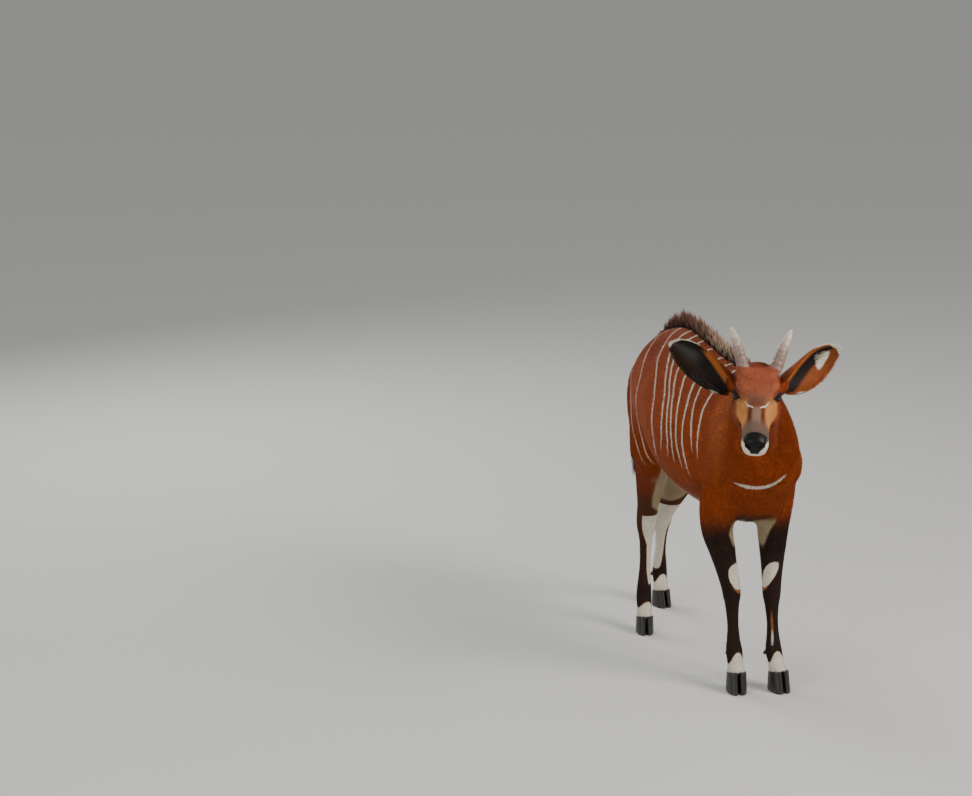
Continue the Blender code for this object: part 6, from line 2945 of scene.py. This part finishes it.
    def lashes(self) -> bpy.types.Object:
        """Dark lashes along the upper lids, and a few on the lower ones.

        Returns:
            The piece.
        """
        roots = Roots.none()
        for side, _ in SIDES:
            centre, out, ahead, up = EYES.axes(side)
            for index in range(60):
                upper = index % 4 != 0
                along = self.chance.uniform(-0.66, 0.55)
                half = 0.52 * (1.0 - (along / 0.80) ** 2) + 0.04 + 0.05
                rise = -0.05 + 0.10 * along + (half if upper else -half)
                depth = math.sqrt(max(1.0 - along * along - rise * rise, 0.05))
                ray = unit(out * depth + ahead * along + up * rise)
                spot = centre + ray * (EYES.radius + EYES.lid_depth * 0.9)
                lean = up * (0.55 if upper else -0.75)
                grow = unit(out * 0.9 + ahead * (along * 0.7) + lean)
                length = self.chance.uniform(0.0055, 0.0095) if upper else 0.0038
                place = HEAD.outward(spot[None, :])[0]
                turned = HEAD.outward_directions(np.stack((grow, -up if upper else up)))
                tone = COLOURS.nose
                flat = (0.3 + 0.4 * (side > 0.0) + 0.1 * along, 0.5 + 0.2 * rise)
                roots.add(place, turned[0], turned[1], (0.00045, length, 0.0003), tone, tone, flat)
        return self.grow(roots, "lashes")


@dataclass
class Eyes:
    """Both eyeballs, with a swollen cornea."""

    seat: EyeSeat
    cornea: float = 0.0009

    def build(self, side: float, label: str) -> bpy.types.Object:
        """One eyeball with its gaze stored for the finish.

        Args:
            side: -1 for the right eye and 1 for the left one.
            label: Word for the side in the piece's name.

        Returns:
            The eyeball.
        """
        centre, out, ahead, up = self.seat.axes(side)
        mesh = bmesh.new()
        bmesh.ops.create_uvsphere(mesh, u_segments=64, v_segments=40, radius=1.0)
        for vert in mesh.verts:
            ray = out * vert.co.z + ahead * vert.co.x + up * vert.co.y
            swell = self.cornea * float(smooth_share(np.array(vert.co.z), 0.62, 0.86))
            vert.co = Vector(centre + ray * (self.seat.radius - 0.0004 + swell))
        body = piece_from("eyeball_" + label, mesh)
        own = get_points(body.data)
        rays = unit_rows(own - centre)
        gaze = np.stack((rays @ ahead, rays @ up, rays @ out), axis=1)
        store(body.data, "gaze", gaze)
        body.data.transform(HEAD.matrix())
        return body


@dataclass
class Horns:
    """Two short horns of a young animal."""

    root: Point = (0.0455, 0.064, 0.044)
    tip: Point = (0.0855, 0.165, 0.111)
    radius: float = 0.0182
    shift: float = 0.0030
    sides: int = 36
    steps: int = 64

    def build(self, side: float, label: str) -> bpy.types.Object:
        """One horn, ringed near its root.

        Args:
            side: -1 for the right horn and 1 for the left one.
            label: Word for the side in the piece's name.

        Returns:
            The horn.
        """
        root = np.array((side * self.root[0] + self.shift, self.root[1], self.root[2]))
        tip = np.array((side * self.tip[0] + self.shift, self.tip[1], self.tip[2]))
        axis = unit(tip - root)
        across = unit(np.cross(axis, (0.0, -1.0, 0.5)))
        other = np.cross(axis, across)
        mesh = bmesh.new()
        rings = []
        for step in range(self.steps + 1):
            share = -0.10 + 1.115 * step / self.steps
            grown = max(share, 0.0)
            radius = self.radius * (1.0 - 0.30 * grown - 0.50 * min(grown, 1.0) ** 4)
            if share > 0.94:
                radius *= math.sqrt(max(1.0 - ((share - 0.94) / 0.0755) ** 2, 0.004))
            wave = math.cos(share * 58.0) + 0.5 * math.cos(share * 131.0 + 0.7)
            radius += 0.00055 * wave * float(smooth_share(np.array(0.66 - share), 0.0, 0.25))
            centre = root + (tip - root) * share
            centre[2] += 0.006 * share * (1.0 - share) * 4.0
            ring = []
            for number in range(self.sides):
                angle = 2.0 * math.pi * number / self.sides
                rib = 1.0 + 0.018 * math.cos(3.0 * angle + 2.0 * share) * (1.0 - 0.6 * grown)
                spoke = across * math.cos(angle) + other * math.sin(angle) * 0.96
                ring.append(mesh.verts.new(centre + spoke * radius * rib))
            rings.append(ring)
        join_rings(mesh, rings)
        body = piece_from("horn_shell_" + label, mesh)
        own = get_points(body.data)
        store(body.data, "share", np.clip((own - root) @ (tip - root) / np.sum((tip - root) ** 2),
                                          0.0, 1.0))
        body.data.transform(HEAD.matrix())
        return body


@dataclass
class Claws:
    """Cloven hooves and the small claws behind the fetlocks.

    Sizes are half width of the pair, toe length and heel length.
    """

    front: Point = (0.0310, 0.0450, 0.0300)
    hind: Point = (0.0290, 0.0435, 0.0290)
    space: float = 0.0012
    sides: int = 40
    levels: tuple[Point, ...] = (
        (0.0, 0.90, 0.935), (0.0012, 0.935, 0.965), (0.005, 0.99, 0.99), (0.016, 0.99, 0.935),
        (0.028, 0.982, 0.860), (0.042, 0.970, 0.775), (0.060, 0.950, 0.680), (0.085, 0.920, 0.575),
    )

    def hoof(self, name: str, limb: Limb, side: float) -> bpy.types.Object:
        """One claw of a foot, flat on the ground, with its top on the coronet's plane.

        Args:
            name: Name of the result.
            limb: The leg.
            side: 1 on the left and -1 on the right.

        Returns:
            The claw.
        """
        half, toe, heel = self.front if limb.front else self.hind
        mesh = bmesh.new()
        rings = []
        for height, wide, long in curve_through(self.levels, 3):
            ring = []
            for number in range(self.sides):
                angle = 2.0 * math.pi * number / self.sides
                c, s = math.cos(angle), math.sin(angle)
                inner = self.space + half * 0.22
                reach = (half - inner) * wide if c > 0.0 else half * 0.22
                across = inner + reach * math.copysign(abs(c) ** 0.8, c)
                forward = toe * long * abs(s) ** 1.1 if s > 0.0 else heel * s * (0.86 + 0.14 * wide)
                ring.append(mesh.verts.new((side * across, -forward, max(height, 0.0))))
            rings.append(ring)
        join_rings(mesh, rings)
        mesh.transform(foot_matrix(limb))
        place, normal = coronet_plane(limb)
        parts = list(mesh.verts) + list(mesh.edges) + list(mesh.faces)
        bmesh.ops.bisect_plane(mesh, geom=parts, plane_co=place - normal * 0.0004,
                               plane_no=normal, clear_outer=True)
        rims = [edge for edge in mesh.edges if edge.is_boundary]
        bmesh.ops.holes_fill(mesh, edges=rims, sides=0)
        body = piece_from(name, mesh)
        bevel = body.modifiers.new("soften", "BEVEL")
        bevel.width = 0.0009
        bevel.segments = 2
        bevel.limit_method = "ANGLE"
        bevel.angle_limit = math.radians(50.0)
        settle(body)
        return body

    def spur(self, name: str, limb: Limb, side: float) -> bpy.types.Object:
        """A small claw behind the fetlock.

        Args:
            name: Name of the result.
            limb: The leg.
            side: 1 on the left and -1 on the right.

        Returns:
            The claw.
        """
        turn = Matrix.Rotation(math.radians(limb.foot_turn), 3, "Z")
        root = Vector(limb.joints[3]) + turn @ Vector((side * 0.0125, 0.0175, -0.006))
        point = root + turn @ Vector((side * 0.0035, 0.014, -0.0145))
        along = (point - root).normalized()
        across = along.cross(Vector((1, 0, 0))).normalized()
        other = along.cross(across)
        mesh = bmesh.new()
        rings = []
        for step in range(13):
            share = step / 12.0
            radius = 0.0072 * math.sqrt(max(1.0 - max(share - 0.45, 0.0) ** 2 / 0.305, 0.01))
            centre = root + (point - root) * share
            ring = []
            for number in range(20):
                angle = 2.0 * math.pi * number / 20
                spoke = across * math.cos(angle) * 0.85 + other * math.sin(angle)
                ring.append(mesh.verts.new(centre + spoke * radius))
            rings.append(ring)
        join_rings(mesh, rings)
        return piece_from(name, mesh)


def bring_home(body: bpy.types.Object) -> None:
    """Moves a finished piece's mesh to the middle of the animal's box."""
    body.data.transform(Matrix.Translation(HOME))


def hand_in(body: bpy.types.Object, nodes: Sequence[str],
            material: Optional[bpy.types.Material] = None) -> None:
    """Dresses a finished piece and hooks it to the animal.

    Args:
        body: Finished piece in the maker's frame.
        nodes: Nodes that it stands for.
        material: Material, or None to keep its own.
    """
    bring_home(body)
    if material is not None:
        body.data.materials.clear()
        body.data.materials.append(material)
    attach(body, BODY)
    if nodes:
        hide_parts(*nodes)
    LOG.info("%s is ready with %d points", body.name, len(body.data.vertices))


@dataclass
class Studio:
    """Pale floor, soft lights and the camera."""

    floor: float = 60.0
    azimuth: float = -21.0
    elevation: float = 12.5
    field: float = 24.0
    place: Point = (-3.063625, -6.152356, 2.38934)

    def lay_floor(self) -> None:
        """A wide pale floor."""
        mesh = bmesh.new()
        bmesh.ops.create_grid(mesh, x_segments=2, y_segments=2, size=self.floor)
        ground = piece_from("floor", mesh, False)
        work = Finish("floor_pale")
        work.set({"Base Color": (0.62, 0.62, 0.60, 1.0), "Roughness": 0.9})
        ground.data.materials.append(work.material)

    def hang_light(self, name: str, place: Point, aim: Point, size: float, power: float,
                   colour: Point) -> None:
        """A square soft light.

        Args:
            name: Name of the light.
            place: Where it hangs.
            aim: What it shines at.
            size: Length of its side.
            power: Power in watts.
            colour: Colour of its light.
        """
        lamp = bpy.data.lights.new(name, "AREA")
        lamp.size = size
        lamp.energy = power
        lamp.color = colour
        body = bpy.data.objects.new(name, lamp)
        body.location = place
        body.rotation_euler = (Vector(aim) - Vector(place)).to_track_quat("-Z", "Y").to_euler()
        bpy.context.scene.collection.objects.link(body)

    def light(self) -> None:
        """Soft daylight with its brighter side at the camera's right."""
        target = (0.0, 0.0, 0.7)
        self.hang_light("key_light", (2.6, -3.6, 3.6), target, 2.2, 250.0, (1.0, 0.96, 0.90))
        self.hang_light("fill_light", (-4.2, -2.4, 2.2), target, 3.0, 90.0, (0.92, 0.96, 1.0))
        self.hang_light("back_light", (-1.2, 4.2, 3.2), target, 2.6, 120.0, (1.0, 0.98, 0.95))
        world = bpy.data.worlds.new("studio")
        world.use_nodes = True
        back = world.node_tree.nodes["Background"]
        back.inputs["Color"].default_value = (0.80, 0.80, 0.79, 1.0)
        back.inputs["Strength"].default_value = 0.55
        bpy.context.scene.world = world

    def set_camera(self) -> None:
        """The camera at the photograph's angle."""
        turn, rise = math.radians(self.azimuth), math.radians(self.elevation)
        back = Vector((math.sin(turn) * math.cos(rise), -math.cos(turn) * math.cos(rise),
                       math.sin(rise)))
        right = (-back).cross(Vector((0.0, 0.0, 1.0))).normalized()
        up = back.cross(right)
        lens = bpy.data.cameras.new("camera")
        lens.sensor_fit = "HORIZONTAL"
        lens.angle = math.radians(self.field)
        lens.clip_end = 200.0
        body = bpy.data.objects.new("camera", lens)
        axes = Matrix((right, up, back)).transposed().to_4x4()
        body.matrix_world = Matrix.Translation(self.place) @ axes
        bpy.context.scene.collection.objects.link(body)
        bpy.context.scene.camera = body

    def build(self) -> None:
        """Sets the whole stage."""
        self.lay_floor()
        self.light()
        self.set_camera()


FLESH_NODES = ("head", "neck", "torso", "tail", "leg_front_right", "leg_front_left",
               "leg_hind_right", "leg_hind_left", "ear_right", "ear_left")


def main() -> None:
    """Builds the animal piece by piece."""
    logging.basicConfig(level=logging.INFO, format="%(name)s: %(message)s")
    Studio().build()
    hide = Hide(Flesh(), Face())
    skin = hide.build()
    coat = Coat(Markings(Stripes()), CoatLie())
    at = coat.dress_skin(skin)
    for piece, growth in coat.grow(skin, at):
        hand_in(piece, growth.nodes)
    hair = LongHair()
    crest_neck, crest_back = hair.crest_pieces(skin)
    hand_in(crest_neck, ("neck",))
    hand_in(crest_back, ("torso",))
    hand_in(hair.tail_tuft(), ("tail",))
    hand_in(hair.ear_hair(), ("ear_right", "ear_left"))
    hand_in(hair.lashes(), ("head",))
    bpy.data.objects.remove(hair.strand, do_unlink=True)
    hand_in(skin, FLESH_NODES, CoatFinish("coat_skin", False).build())
    eye_finish = EyeFinish().build()
    horn_finish = HornFinish().build()
    claw_finish = ClawFinish().build()
    for side, label in SIDES:
        hand_in(Eyes(EYES).build(side, label), ("eye_" + label,), eye_finish)
        hand_in(Horns().build(side, label), ("horn_" + label,), horn_finish)
    for leg, limb in LIMBS.items():
        for side, label in SIDES:
            hoof = Claws().hoof("claw_" + leg + "_" + label, limb, side)
            hand_in(hoof, ("hoof_" + leg + "_" + label,), claw_finish)
            spur = Claws().spur("spur_" + leg + "_" + label, limb, side)
            hand_in(spur, ("dewclaw_" + leg + "_" + label,), claw_finish)


if __name__ == "__main__":
    main()
